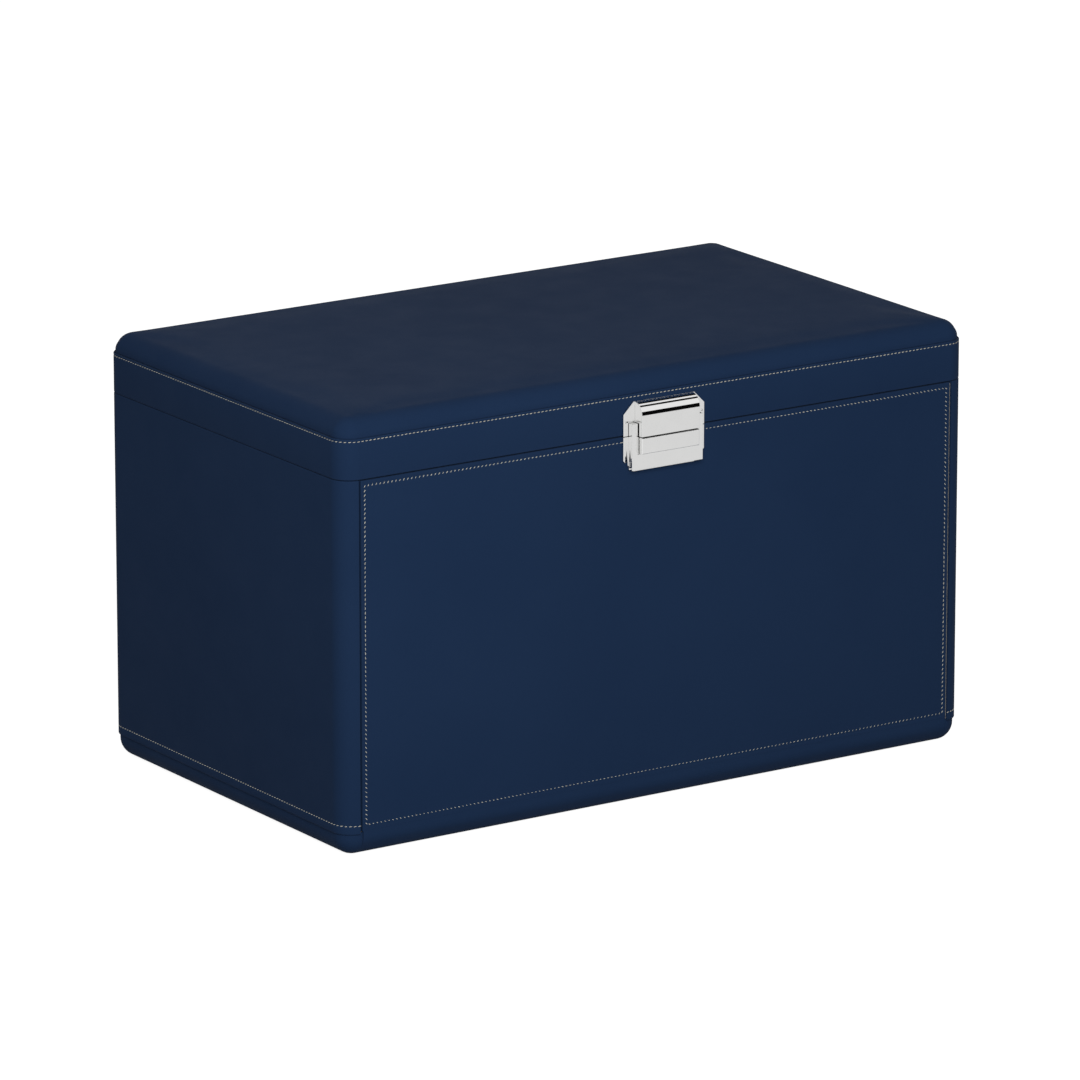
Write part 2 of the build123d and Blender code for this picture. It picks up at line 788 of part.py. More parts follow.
with BuildPart() as clasp_plate_lower:
    with BuildSketch(front_plane(0)):
        with BuildLine():
            Polyline(
                (-clasp_half, flap_top),
                (-clasp_half, plate_foot + clasp_corner),
                (-clasp_half + clasp_corner, plate_foot),
                (clasp_half - clasp_corner, plate_foot),
                (clasp_half, plate_foot + clasp_corner),
                (clasp_half, flap_top),
                close=True,
            )
        make_face()
        for side in (-1, 1):
            with BuildLine():
                Polyline(
                    (side * (notch_x - notch_width / 2), plate_foot),
                    (side * (notch_x + notch_width / 2), plate_foot),
                    (side * notch_x, notch_top),
                    close=True,
                )
            make_face(mode=Mode.SUBTRACT)
        with Locations((0, middle((yoke_foot - loose, flap_top)))):
            Rectangle(yoke_width + 2 * (loose + slip), flap_top - yoke_foot + loose, mode=Mode.SUBTRACT)
    extrude(amount=clasp_plate)
    with BuildSketch(front_plane(clasp_plate)):
        with Locations((-spring_x, spring_height), (spring_x, spring_height)):
            Circle(spring_boss)
    extrude(amount=spring_boss_height)
    clasp_screw_threads(plate_screw_x, plate_screw_z, clasp_plate)
finish(clasp_plate_lower, "clasp_plate")

with BuildPart() as clasp_frame:
    block((-frame_half, frame_half), (clasp_plate, frame_depth), (frame_foot, flap_top))
    for side in (-1, 1):
        upright_x = sorted((side * opening_half, side * frame_half))
        block(upright_x, (clasp_plate + loose, frame_depth), (flap_top, ledge_height))
    block(opening_x, (clasp_plate, frame_depth), (frame_sill, ledge_height), Mode.SUBTRACT)
    block((-cavity_half, cavity_half), (clasp_plate, cavity_front), (cavity_foot, cavity_top), Mode.SUBTRACT)
    for side in (-1, 1):
        with BuildSketch(Plane.YZ.offset(side * (frame_half - relief_depth))):
            with BuildLine():
                Polyline(
                    (front - frame_depth + relief_wall, frame_foot),
                    (front - frame_depth + relief_wall, frame_foot + relief_rise),
                    (front - relief_back, frame_foot + relief_rise - relief_slope),
                    (front - relief_back, frame_foot),
                    close=True,
                )
            make_face()
        extrude(amount=side * relief_depth, mode=Mode.SUBTRACT)
    clasp_screw_threads(plate_screw_x, plate_screw_z, clasp_plate + screw_grip + slip)
finish(clasp_frame, "clasp_frame")

with BuildPart() as plate_screws:
    clasp_screws(plate_screw_x, plate_screw_z)
finish(plate_screws, "plate_screws")

with BuildPart() as push_bar:
    block((-slab_half, slab_half), (flange_front, head_depth), (slab_foot, slab_top))
    chamfer(push_bar.faces().sort_by(Axis.Y)[0].edges(), length=edge_break)
    block(
        (-opening_half - bar_overlap, opening_half + bar_overlap),
        (flange_back, flange_front),
        (frame_sill - bar_overlap, slab_top),
    )
    block((-yoke_width / 2, yoke_width / 2), (yoke_back, flange_back), (yoke_foot, slab_top - loose))
    block(pocket_x, (pocket_back, pocket_front), (pocket_foot, slab_top), Mode.SUBTRACT)
    block(pocket_x, (pocket_back, tooth_face), (tooth_foot, tooth_foot + tooth_height))
    tooth_edge = push_bar.faces().filter_by(Axis.Y).filter_by_position(
        Axis.Y, front - tooth_face - pin_play, front - tooth_face + pin_play
    )[0].edges().sort_by(Axis.Z)[-1]
    chamfer(tooth_edge, length=tooth_reach - slip)
    with BuildSketch(front_plane(flange_back)):
        with Locations((-spring_x, spring_height), (spring_x, spring_height)):
            Circle(spring_bore)
    extrude(amount=spring_bore_end - flange_back, mode=Mode.SUBTRACT)
finish(push_bar, "push_bar")

spring_start = clasp_plate + spring_wire + pin_play
spring_end = spring_bore_end - bar_travel - spring_wire - slip

with BuildPart() as push_bar_springs:
    for x in (-spring_x, spring_x):
        with BuildLine() as coil:
            Helix(
                pitch=(spring_end - spring_start) / spring_turns,
                height=spring_end - spring_start,
                radius=spring_radius,
                center=(x, front - spring_start, spring_height),
                direction=(0, -1, 0),
            )
        with BuildSketch(Plane(origin=coil.line @ 0, z_dir=coil.line % 0)):
            Rectangle(2 * spring_wire, 2 * spring_wire)
        sweep(path=coil.line, is_frenet=True)
finish(push_bar_springs, "push_bar_springs")
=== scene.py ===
import math

import bmesh
import bpy
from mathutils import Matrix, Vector


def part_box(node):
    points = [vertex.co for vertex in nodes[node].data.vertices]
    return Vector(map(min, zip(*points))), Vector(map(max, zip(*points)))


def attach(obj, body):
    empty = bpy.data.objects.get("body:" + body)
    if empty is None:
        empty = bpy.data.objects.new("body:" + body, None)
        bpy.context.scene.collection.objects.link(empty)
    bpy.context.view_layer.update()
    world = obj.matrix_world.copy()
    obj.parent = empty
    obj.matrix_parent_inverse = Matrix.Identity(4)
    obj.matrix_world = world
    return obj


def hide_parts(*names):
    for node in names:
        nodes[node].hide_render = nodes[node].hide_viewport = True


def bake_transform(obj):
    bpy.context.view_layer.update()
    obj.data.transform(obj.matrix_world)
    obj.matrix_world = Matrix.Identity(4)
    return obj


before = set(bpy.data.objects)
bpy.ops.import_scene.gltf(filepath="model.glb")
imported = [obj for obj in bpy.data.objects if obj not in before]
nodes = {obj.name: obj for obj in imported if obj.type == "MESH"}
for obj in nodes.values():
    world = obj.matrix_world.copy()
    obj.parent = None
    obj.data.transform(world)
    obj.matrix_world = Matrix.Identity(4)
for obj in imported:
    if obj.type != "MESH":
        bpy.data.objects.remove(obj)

mm = 0.001
scene = bpy.context.scene
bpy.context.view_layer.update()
print("frame loaded:", len(nodes), "nodes")

# Sizes of the case that every piece shares, read from the frame
wallLow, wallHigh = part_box("body_leather")
bandLow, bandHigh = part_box("lid_band_leather")
flapLow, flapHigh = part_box("flap_leather")
capLow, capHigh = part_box("lid_cap_leather")
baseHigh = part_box("base_leather")[1]

case = {
    "halfWidth": wallHigh.x,
    "halfDepth": bandHigh.y,
    "cornerRadius": 11 * mm,
    "leather": 1.2 * mm,
    "wall": 9.8 * mm,
    "cornerSteps": 14,
}


class Graph:
    # one material and its nodes, with a short call for each kind of node
    def __init__(self, name):
        self.material = bpy.data.materials.new(name)
        self.material.use_nodes = True
        self.tree = self.material.node_tree
        self.shader = self.tree.nodes["Principled BSDF"]
        self.place = self.tree.nodes.new("ShaderNodeTexCoord").outputs["Object"]

    def add(self, kind, inputs=None, **settings):
        node = self.tree.nodes.new(kind)
        for key, value in settings.items():
            setattr(node, key, value)
        for key, value in (inputs or {}).items():
            if isinstance(value, bpy.types.NodeSocket):
                self.tree.links.new(value, node.inputs[key])
            else:
                node.inputs[key].default_value = value
        return node

    def noise(self, scale, detail=3.0, roughness=0.5, vector=None):
        inputs = {"Vector": vector or self.place, "Scale": scale, "Detail": detail, "Roughness": roughness}
        return self.add("ShaderNodeTexNoise", inputs).outputs["Fac"]

    def ramp(self, value, low, high, toLow=0.0, toHigh=1.0):
        inputs = {"Value": value, "From Min": low, "From Max": high, "To Min": toLow, "To Max": toHigh}
        return self.add("ShaderNodeMapRange", inputs).outputs["Result"]

    def blend(self, factor, first, second, mode="MIX"):
        node = self.add("ShaderNodeMix", data_type="RGBA", blend_type=mode)
        for socket, value in ((0, factor), (6, first), (7, second)):
            if isinstance(value, bpy.types.NodeSocket):
                self.tree.links.new(value, node.inputs[socket])
            else:
                node.inputs[socket].default_value = value
        return node.outputs[2]

    def maths(self, operation, first, second=0.0):
        return self.add("ShaderNodeMath", {0: first, 1: second}, operation=operation).outputs[0]

    def bump(self, height, strength, distance, under=None):
        inputs = {"Height": height, "Strength": strength, "Distance": distance}
        if under is not None:
            inputs["Normal"] = under
        return self.add("ShaderNodeBump", inputs).outputs["Normal"]

    def finish(self, **inputs):
        for key, value in inputs.items():
            socket = self.shader.inputs[key.replace("_", " ")]
            if isinstance(value, bpy.types.NodeSocket):
                self.tree.links.new(value, socket)
            else:
                socket.default_value = value
        return self.material


def colour(red, green, blue):
    return (red, green, blue, 1.0)


def calfLeather(name, tone, lighter, grainDepth):
    # smooth calf: slow tone changes, fine pores and creases with painted shade darkening the creases, a quiet
    # sheen
    g = Graph(name)
    slow = g.ramp(g.noise(9.0, 2.0), 0.35, 0.65)
    cloud = g.ramp(g.noise(55.0, 4.0), 0.3, 0.7)
    cells = {"Vector": g.place, "Scale": 1350.0}
    pores = g.add("ShaderNodeTexVoronoi", cells, feature="DISTANCE_TO_EDGE").outputs[0]
    creases = g.ramp(pores, 0.0, 0.22)
    fine = g.noise(2600.0, 2.0)
    tint = g.blend(slow, tone, lighter)
    tint = g.blend(g.maths("MULTIPLY", cloud, 0.25), tint, lighter)
    creaseShade = tuple(0.86 * channel for channel in tone[:3]) + (1.0,)
    # painted shade: the grain's creases, where the bump dips, are darkened
    tint = g.blend(g.ramp(creases, 0.0, 1.0, 0.35, 0.0), tint, creaseShade)
    rough = g.ramp(g.maths("ADD", cloud, g.maths("MULTIPLY", creases, 0.4)), 0.0, 1.4, 0.84, 0.72)
    normal = g.bump(g.noise(140.0, 2.0), 0.10, 0.0006)
    normal = g.bump(creases, 0.22, grainDepth, normal)
    normal = g.bump(fine, 0.10, 0.00004, normal)
    g.shader.inputs["Specular IOR Level"].default_value = 0.026
    g.shader.inputs["Sheen Weight"].default_value = 0.016
    g.shader.inputs["Sheen Roughness"].default_value = 0.4
    return g.finish(Base_Color=tint, Roughness=rough, Normal=normal)


def suedeCloth(name, tone, nap):
    g = Graph(name)
    brushed = g.ramp(g.noise(26.0, 3.0, 0.6), 0.35, 0.65)
    mottle = g.ramp(g.noise(240.0, 3.0), 0.3, 0.7)
    fibre = g.noise(3200.0, 2.0, 0.7)
    tint = g.blend(g.maths("MULTIPLY", brushed, 0.6), tone, nap)
    # painted shade: the valleys between the fibres, where the bump dips, are darkened
    shade = tuple(0.8 * channel for channel in tone[:3]) + (1.0,)
    tint = g.blend(g.ramp(fibre, 0.3, 0.7, 0.45, 0.0), tint, shade)
    tint = g.blend(g.maths("MULTIPLY", mottle, 0.12), tint, nap)
    normal = g.bump(mottle, 0.12, 0.0003)
    normal = g.bump(fibre, 0.35, 0.00012, normal)
    g.shader.inputs["Sheen Weight"].default_value = 0.25
    g.shader.inputs["Sheen Roughness"].default_value = 0.4
    g.shader.inputs["Specular IOR Level"].default_value = 0.1
    return g.finish(Base_Color=tint, Roughness=g.ramp(fibre, 0.3, 0.7, 0.98, 0.88), Normal=normal)


def rawBoard(name):
    g = Graph(name)
    flakes = g.noise(420.0, 4.0, 0.7)
    cloud = g.noise(30.0, 2.0)
    tint = g.blend(g.ramp(flakes, 0.3, 0.7), colour(0.42, 0.32, 0.21), colour(0.60, 0.48, 0.34))
    tint = g.blend(g.ramp(cloud, 0.3, 0.7, 0.0, 0.25), tint, colour(0.36, 0.27, 0.18))
    return g.finish(Base_Color=tint, Roughness=0.9, Normal=g.bump(flakes, 0.25, 0.0002))


def metal(name, tone, roughness, brushed=0.0, stretch=(1.0, 1.0, 1.0)):
    # plated or plain metal: faint haze, hairline marks, and a brushed grain if asked
    g = Graph(name)
    haze = g.noise(180.0, 3.0)
    run = g.add("ShaderNodeMapping", {"Vector": g.place, "Scale": stretch}).outputs["Vector"]
    hair = g.noise(1500.0, 2.0, 0.6, run)
    tint = g.blend(g.ramp(haze, 0.35, 0.65), tone, tuple(0.985 * channel for channel in tone[:3]) + (1.0,))
    marks = g.maths("ADD", haze, g.maths("MULTIPLY", hair, 0.5))
    rough = g.ramp(marks, 0.4, 1.0, roughness, 1.25 * roughness)
    normal = g.bump(hair, 0.04 + brushed, 0.00001 + 0.00003 * brushed)
    return g.finish(Base_Color=tint, Metallic=1.0, Roughness=rough, Normal=normal)


def silveredGlass(name):
    g = Graph(name)
    wipe = g.noise(14.0, 4.0, 0.6)
    dust = g.ramp(g.noise(900.0, 1.0), 0.68, 0.8)
    tint = g.blend(g.maths("MULTIPLY", dust, 0.2), colour(0.88, 0.90, 0.90), colour(0.70, 0.71, 0.71))
    rough = g.maths("ADD", g.ramp(wipe, 0.4, 0.75, 0.015, 0.04), g.maths("MULTIPLY", dust, 0.1))
    return g.finish(Base_Color=tint, Metallic=1.0, Roughness=rough)


def waxedThread(name):
    # thread with a fine ripple across it, its grooves darkened by painted shade, and uneven wax
    g = Graph(name)
    ply = g.add("ShaderNodeTexWave", {"Vector": g.place, "Scale": 900.0, "Distortion": 1.5}).outputs["Fac"]
    wax = g.noise(300.0, 2.0)
    tint = g.blend(g.ramp(wax, 0.3, 0.7), colour(0.38, 0.37, 0.31), colour(0.47, 0.46, 0.40))
    # painted shade: the ripple's grooves, where the bump dips, are darkened
    tint = g.blend(g.ramp(ply, 0.2, 0.8, 0.35, 0.0), tint, colour(0.30, 0.28, 0.24))
    g.shader.inputs["Sheen Weight"].default_value = 0.15
    return g.finish(Base_Color=tint, Roughness=0.7, Normal=g.bump(ply, 0.4, 0.0001))


navy, lighterNavy = colour(0.0096, 0.0226, 0.0565), colour(0.0108, 0.0248, 0.0606)
finishes = {
    "leather": calfLeather("navyCalf", navy, lighterNavy, 0.00006),
    "frame_leather": calfLeather("navyTrim", navy, lighterNavy, 0.00004),
    "suede": suedeCloth("greySuede", colour(0.40, 0.38, 0.35), colour(0.50, 0.475, 0.44)),
    "felt": suedeCloth("navyFelt", colour(0.010, 0.016, 0.032), colour(0.017, 0.025, 0.046)),
    "board": rawBoard("fibreBoard"),
    "mirror": silveredGlass("silveredMirror"),
    "hinge_steel": metal("hingePlate", colour(0.62, 0.62, 0.63), 0.22, 0.1, (0.05, 1.0, 1.0)),
    "clasp_chrome": metal("claspChrome", colour(0.78, 0.78, 0.775), 0.045),
    "hook_steel": metal("hookSteel", colour(0.55, 0.55, 0.56), 0.3, 0.2, (0.05, 1.0, 1.0)),
    "screw_steel": metal("screwSteel", colour(0.55, 0.55, 0.56), 0.28, 0.1),
    "spring_steel": metal("springWire", colour(0.5, 0.5, 0.51), 0.25, 0.1),
    "pull_chrome": metal("pullChrome", colour(0.74, 0.74, 0.74), 0.09),
}
threadFinish = waxedThread("paleThread")

nodeFinish = {
    "board": ["base_board", "left_side_board", "right_side_board", "back_board", "lid_left_rail",
              "lid_right_rail", "lid_back_rail", "lid_front_rail", "lid_top_board", "flap_board"],
    "felt": ["base_felt"],
    "suede": ["interior_lining"],
    "mirror": ["mirror"],
    "spring_steel": ["push_bar_springs"],
}
for slotName, members in nodeFinish.items():
    for member in members:
        nodes[member].data.materials.clear()
        nodes[member].data.materials.append(finishes[slotName])
print("materials made:", len(finishes) + 1)


def newPiece(name, mesh, slotName=None):
    piece = bpy.data.objects.new(name, mesh)
    scene.collection.objects.link(piece)
    if slotName:
        mesh.materials.clear()
        mesh.materials.append(finishes[slotName])
    return piece


def meshFrom(name, points, faces):
    mesh = bpy.data.meshes.new(name)
    mesh.from_pydata(points, [], faces)
    work = bmesh.new()
    work.from_mesh(mesh)
    bmesh.ops.remove_doubles(work, verts=work.verts, dist=1e-6)
    bmesh.ops.recalc_face_normals(work, faces=work.faces)
    work.to_mesh(mesh)
    work.free()
    return mesh


def settle(piece):
    # modifiers are made part of the mesh
    view = bpy.context.evaluated_depsgraph_get()
    mesh = bpy.data.meshes.new_from_object(piece.evaluated_get(view))
    piece.modifiers.clear()
    piece.data = mesh
    return piece


def smooth(piece, angle=35):
    piece.data.shade_smooth()
    piece.data.set_sharp_from_angle(angle=math.radians(angle))
    return piece


def softenEdges(piece, width, segments=2, angle=35):
    bevel = piece.modifiers.new("edges", "BEVEL")
    bevel.width = width
    bevel.segments = segments
    bevel.limit_method = "ANGLE"
    bevel.angle_limit = math.radians(angle)
    bevel.miter_outer = "MITER_ARC"
    settle(piece)
    piece.data.shade_smooth()
    weighted = piece.modifiers.new("flats", "WEIGHTED_NORMAL")
    weighted.keep_sharp = True
    return settle(piece)


def refined(nodeName, pieceName, slotName, body, width, segments=2, angle=35):
    # a finer copy of a CAD node: its triangles merged into faces, its edges eased
    mesh = nodes[nodeName].data.copy()
    work = bmesh.new()
    work.from_mesh(mesh)
    bmesh.ops.remove_doubles(work, verts=work.verts, dist=2e-6)
    bmesh.ops.dissolve_limit(work, angle_limit=math.radians(0.6), verts=work.verts, edges=work.edges)
    work.to_mesh(mesh)
    work.free()
    if mesh.attributes.get("custom_normal"):
        mesh.attributes.remove(mesh.attributes["custom_normal"])
    piece = newPiece(pieceName, mesh, slotName)
    softenEdges(piece, width, segments, angle)
    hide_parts(nodeName)
    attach(piece, body)
    return piece


def ringPoints(halfU, halfV, radius, inset, steps, sideSteps):
    # a rounded rectangle drawn in by an inset, always with as many points
    halfU, halfV, radius = halfU - inset, halfV - inset, max(radius - inset, 0.0)
    corners = ((1, -1, -90), (1, 1, 0), (-1, 1, 90), (-1, -1, 180))
    points = []
    for signU, signV, start in corners:
        centreU, centreV = signU * (halfU - radius), signV * (halfV - radius)
        for step in range(steps + 1):
            turn = math.radians(start + 90 * step / steps)
            points.append((centreU + radius * math.cos(turn), centreV + radius * math.sin(turn)))
    full = []
    for number, point in enumerate(points):
        full.append(point)
        if number % (steps + 1) == steps:
            following = points[(number + 1) % len(points)]
            count = sideSteps[(number // (steps + 1)) % 2]
            for part in range(1, count):
                share = part / count
                full.append((point[0] + share * (following[0] - point[0]),
                             point[1] + share * (following[1] - point[1])))
    return full


def arcProfile(centreInset, centreDepth, radius, start, end, steps):
    # points of a turned edge, as (inset, depth)
    points = []
    for step in range(steps + 1):
        turn = math.radians(start + (end - start) * step / steps)
        points.append((centreInset - radius * math.cos(turn), centreDepth + radius * math.sin(turn)))
    return points


def loft(name, halfU, halfV, radius, profile, toPoint,
         closed=False, capFirst=False, capLast=False, sideSteps=(1, 1)):
    rings = [ringPoints(halfU, halfV, radius, inset, case["cornerSteps"], sideSteps) for inset, _ in profile]
    count = len(rings[0])
    points = [toPoint(u, v, depth) for ring, (_, depth) in zip(rings, profile) for u, v in ring]
    faces = []
    pairs = len(profile) if closed else len(profile) - 1
    for lower in range(pairs):
        upper = (lower + 1) % len(profile)
        for here in range(count):
            there = (here + 1) % count
            faces.append((lower * count + here, lower * count + there,
                          upper * count + there, upper * count + here))
    if capFirst:
        faces.append(tuple(range(count)))
    if capLast:
        faces.append(tuple(range((len(profile) - 1) * count, len(profile) * count)))
    return meshFrom(name, points, faces)


def grooveProfile(line, half, deep):
    # a shallow dip for a row of stitches, as (inset, height)
    return [(0.0, line - half), (0.5 * deep, line - 0.5 * half), (deep, line),
            (0.5 * deep, line + 0.5 * half), (0.0, line + half)]


def flat(u, v, depth):
    return (u, v, depth)


# The leather cap round the base
base = {"inset": 0.9 * mm, "foot": 9.8 * mm, "turnIn": 24 * mm, "roundSteps": 12}


def makeBaseWrap():
    t = case["leather"]
    top, inset, foot = baseHigh.z, base["inset"], base["foot"]
    outer = [(inset, top)] + arcProfile(inset + foot, foot, foot, 0, -90, base["roundSteps"])
    inner = arcProfile(inset + foot, foot, foot - t, -90, 0, base["roundSteps"]) + [(inset + t, top)]
    profile = outer + [(base["turnIn"], 0.0), (base["turnIn"], t)] + inner
    halfU, halfV, radius = case["halfWidth"], case["halfDepth"], case["cornerRadius"]
    mesh = loft("baseWrap", halfU, halfV, radius, profile, flat, closed=True)
    piece = newPiece("baseWrap", mesh, "leather")
    smooth(piece, 40)
    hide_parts("base_leather")
    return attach(piece, "case")


# The leather round the body, open at the front
body = {"rim": 0.5 * mm, "foot": 0.75 * mm, "hang": 0.9 * mm, "hem": 0.1 * mm, "lapClear": 0.02 * mm,
        "rimSteps": 5, "stitch": 3.7 * mm,
        "groove": 0.16 * mm, "grooveWidth": 0.7 * mm, "seamStop": 1}


def bodyPath():
    # the outline from the left of the opening round the back to its right
    halfU, halfV, radius = case["halfWidth"], case["halfDepth"], case["cornerRadius"]
    opening = halfU - case["wall"]
    lead = math.degrees(math.asin((opening - (halfU - radius)) / radius))
    steps = 2 * case["cornerSteps"]
    turns = [(-1, -1, 270 - lead - (90 - lead) * k / steps) for k in range(steps + 1)]
    turns += [(-1, 1, 180 - 90 * k / steps) for k in range(steps + 1)]
    turns += [(1, 1, 90 - 90 * k / steps) for k in range(steps + 1)]
    turns += [(1, -1, 0 - (90 - lead) * k / steps) for k in range(steps + 1)]
    path = []
    for signU, signV, angle in turns:
        turn = math.radians(angle)
        out = (math.cos(turn), math.sin(turn))
        centre = (signU * (halfU - radius), signV * (halfV - radius))
        path.append((centre[0] + radius * out[0], centre[1] + radius * out[1], out[0], out[1]))
    return path


def makeBodyWrap():
    t, rim, foot = case["leather"], body["rim"], body["foot"]
    low, high, line = wallLow.z - body["hang"], wallHigh.z, wallLow.z + body["stitch"]
    half, deep = body["grooveWidth"], body["groove"]
    lap = base["inset"] - body["lapClear"]
    profile = [(t, wallLow.z), (lap, wallLow.z), (lap, low + body["hem"])]
    profile += arcProfile(foot, low + foot, foot, -84, 0, body["rimSteps"])
    profile += grooveProfile(line, half, deep)
    profile += arcProfile(rim, high - rim, rim, 0, 90, body["rimSteps"])
    profile += arcProfile(case["wall"] - 0.5 * t, high - 0.5 * t, -0.5 * t, 270, 180, body["rimSteps"])
    profile += [(case["wall"], high - t), (t, high - t)]
    path = bodyPath()
    points = [(x - inset * outX, y - inset * outY, z) for x, y, outX, outY in path for inset, z in profile]
    count, faces = len(profile), []
    for along in range(len(path) - 1):
        for here in range(count):
            there = (here + 1) % count
            faces.append((along * count + here, along * count + there,
                          (along + 1) * count + there, (along + 1) * count + here))
    faces.append(tuple(range(count)))
    faces.append(tuple(range((len(path) - 1) * count, len(path) * count)))
    piece = newPiece("bodyWrap", meshFrom("bodyWrap", points, faces), "leather")
    smooth(piece, 40)
    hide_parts("body_leather")
    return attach(piece, "case")


# The lid's stitched band
band = {"foot": 0.5 * mm, "drop": 0.3 * mm, "slope": (2.2 * mm, 1.6 * mm),
        "lip": 0.5 * mm, "lipDrop": 0.8 * mm, "steps": 5,
        "stitchDrop": 2.2 * mm, "groove": 0.16 * mm, "grooveWidth": 0.7 * mm}


def makeBandWrap():
    t, foot, lip = case["leather"], band["foot"], band["lip"]
    low, high = bandLow.z - band["drop"], bandHigh.z - band["lipDrop"]
    line, half, deep = bandHigh.z - band["stitchDrop"], band["grooveWidth"], band["groove"]
    inner, outer = band["slope"]
    profile = [(case["wall"], bandLow.z + t), (case["wall"], bandLow.z), (inner, bandLow.z), (outer, low)]
    profile += arcProfile(foot, low + foot, foot, -90, 0, band["steps"])
    profile += grooveProfile(line, half, deep)
    profile += arcProfile(lip, high - lip, lip, 0, 90, band["steps"])
    profile += arcProfile(t - lip, high - lip, -lip, 270, 180, band["steps"])
    profile += [(t, bandLow.z + t)]
    halfU, halfV, radius = case["halfWidth"], case["halfDepth"], case["cornerRadius"]
    mesh = loft("bandWrap", halfU, halfV, radius, profile, flat, closed=True)
    piece = newPiece("bandWrap", mesh, "leather")
    smooth(piece, 40)
    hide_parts("lid_band_leather")
    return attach(piece, "lid")


# The lid's padded top
paddedTop = {
    "inset": 0.95 * mm, "tuck": 0.03 * mm, "wallDrop": 0.9 * mm,
    "round": 9.0 * mm, "roundSteps": 8, "cell": 5 * mm,
    "rise": 0.5 * mm, "riseShare": 0.6, "held": 0.4, "pressure": 2.0, "frames": 20, "fill": 0.7,
}


def clothPuff(piece, pinned, pressure, frames, rise):
    # foam pushes the cover out; the pinned edge stays, and no point moves past the rise
    rest = [v.co.copy() for v in piece.data.vertices]
    group = piece.vertex_groups.new(name="held")
    group.add(pinned, 1.0, "REPLACE")
    cloth = piece.modifiers.new("puff", "CLOTH")
    cloth.settings.quality = 6
    cloth.settings.mass = 0.3
    cloth.settings.tension_stiffness = 25
    cloth.settings.compression_stiffness = 25
    cloth.settings.shear_stiffness = 10
    cloth.settings.bending_stiffness = 4
    cloth.settings.use_pressure = True
    cloth.settings.uniform_pressure_force = pressure
    cloth.settings.vertex_group_mass = "held"
    cloth.settings.effector_weights.gravity = 0.0
    cloth.collision_settings.use_collision = False
    cloth.point_cache.frame_start = 1
    cloth.point_cache.frame_end = frames
    for number in range(1, frames + 1):
        scene.frame_set(number)
    settle(piece)
    scene.frame_set(1)
    for vertex, start in zip(piece.data.vertices, rest):
        move = vertex.co - start
        if move.length > 1e-9:
            vertex.co = start + move.normalized() * (rise * math.tanh(move.length / rise))
    piece.vertex_groups.clear()
    return piece


def makePaddedTop():
    size = paddedTop
    low, high, edge = capLow.z, capHigh.z - size["riseShare"] * size["rise"], size["round"]
    halfU, halfV, radius = case["halfWidth"], case["halfDepth"], case["cornerRadius"]
    columns = round(2 * (halfU - radius) / size["cell"])
    rows = round(2 * (halfV - radius) / size["cell"])
    sideSteps = (rows, columns)
    tuck = size["inset"] + size["tuck"]
    profile = [(radius, low), (tuck, low), (tuck, bandHigh.z - size["wallDrop"])]
    profile += arcProfile(size["inset"] + edge, high - edge, edge, 0, 90, size["roundSteps"])
    profile += [(radius, high)]
    mesh = loft("paddedTop", halfU, halfV, radius, profile, flat, sideSteps=sideSteps)
    work = bmesh.new()
    work.from_mesh(mesh)
    stepU, stepV = 2 * (halfU - radius) / columns, 2 * (halfV - radius) / rows
    for level in (low, high):
        grid = [[work.verts.new((-halfU + radius + i * stepU, -halfV + radius + j * stepV, level))
                 for i in range(columns + 1)] for j in range(rows + 1)]
        for j in range(rows):
            for i in range(columns):
                work.faces.new((grid[j][i], grid[j][i + 1], grid[j + 1][i + 1], grid[j + 1][i]))
    bmesh.ops.remove_doubles(work, verts=work.verts, dist=1e-6)
    bmesh.ops.recalc_face_normals(work, faces=work.faces)
    work.to_mesh(mesh)
    work.free()
    piece = newPiece("paddedTop", mesh, "leather")
    pinned = [v.index for v in mesh.vertices if v.co.z < low + size["held"] * (high - low)]
    clothPuff(piece, pinned, size["pressure"], size["frames"], size["rise"])
    rounder = piece.modifiers.new("soft", "SUBSURF")
    rounder.levels = rounder.render_levels = 1
    settle(piece)
    smooth(piece, 60)
    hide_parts("lid_cap_leather", "lid_padding")
    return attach(piece, "lid")


# Suede glued inside the lid, coved where it turns the corner
lining = {"thickness": 0.6 * mm, "cove": 1.6 * mm, "edge": 0.25 * mm, "corner": 0.6 * mm, "steps": 4}


def makeLidLining():
    low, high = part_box("lid_lining")
    thick, edge, cove = lining["thickness"], lining["edge"], lining["cove"]
    profile = [(0.0, high.z)] + arcProfile(edge, low.z + edge, edge, 0, -90, lining["steps"])
    profile += arcProfile(thick - edge, low.z + edge, -edge, 90, 0, lining["steps"])
    top = high.z - thick
    for step in range(lining["steps"] + 1):
        turn = math.pi / 2 * step / lining["steps"]
        profile.append((thick + cove * (1 - math.cos(turn)), top - cove + cove * math.sin(turn)))
    mesh = loft("lidLining", high.x, high.y, lining["corner"], profile, flat, capFirst=True, capLast=True)
    piece = newPiece("lidLining", mesh, "suede")
    smooth(piece, 40)
    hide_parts("lid_lining")
    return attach(piece, "lid")


# Leather over the flap, with its edge turned to the back
flap = {"round": 0.5 * mm, "corner": 0.5 * mm, "turnIn": 4 * mm, "backLap": 0.45 * mm,
        "stitchInset": 2.2 * mm, "stitchFoot": 1.3 * mm, "stitchTop": 0.6 * mm, "stitchClasp": 0.5 * mm,
        "groove": 0.16 * mm, "grooveWidth": 0.7 * mm, "steps": 5}
flapCentre = (flapLow.z + flapHigh.z) / 2


def upright(u, v, depth):
    return (u, depth, flapCentre + v)


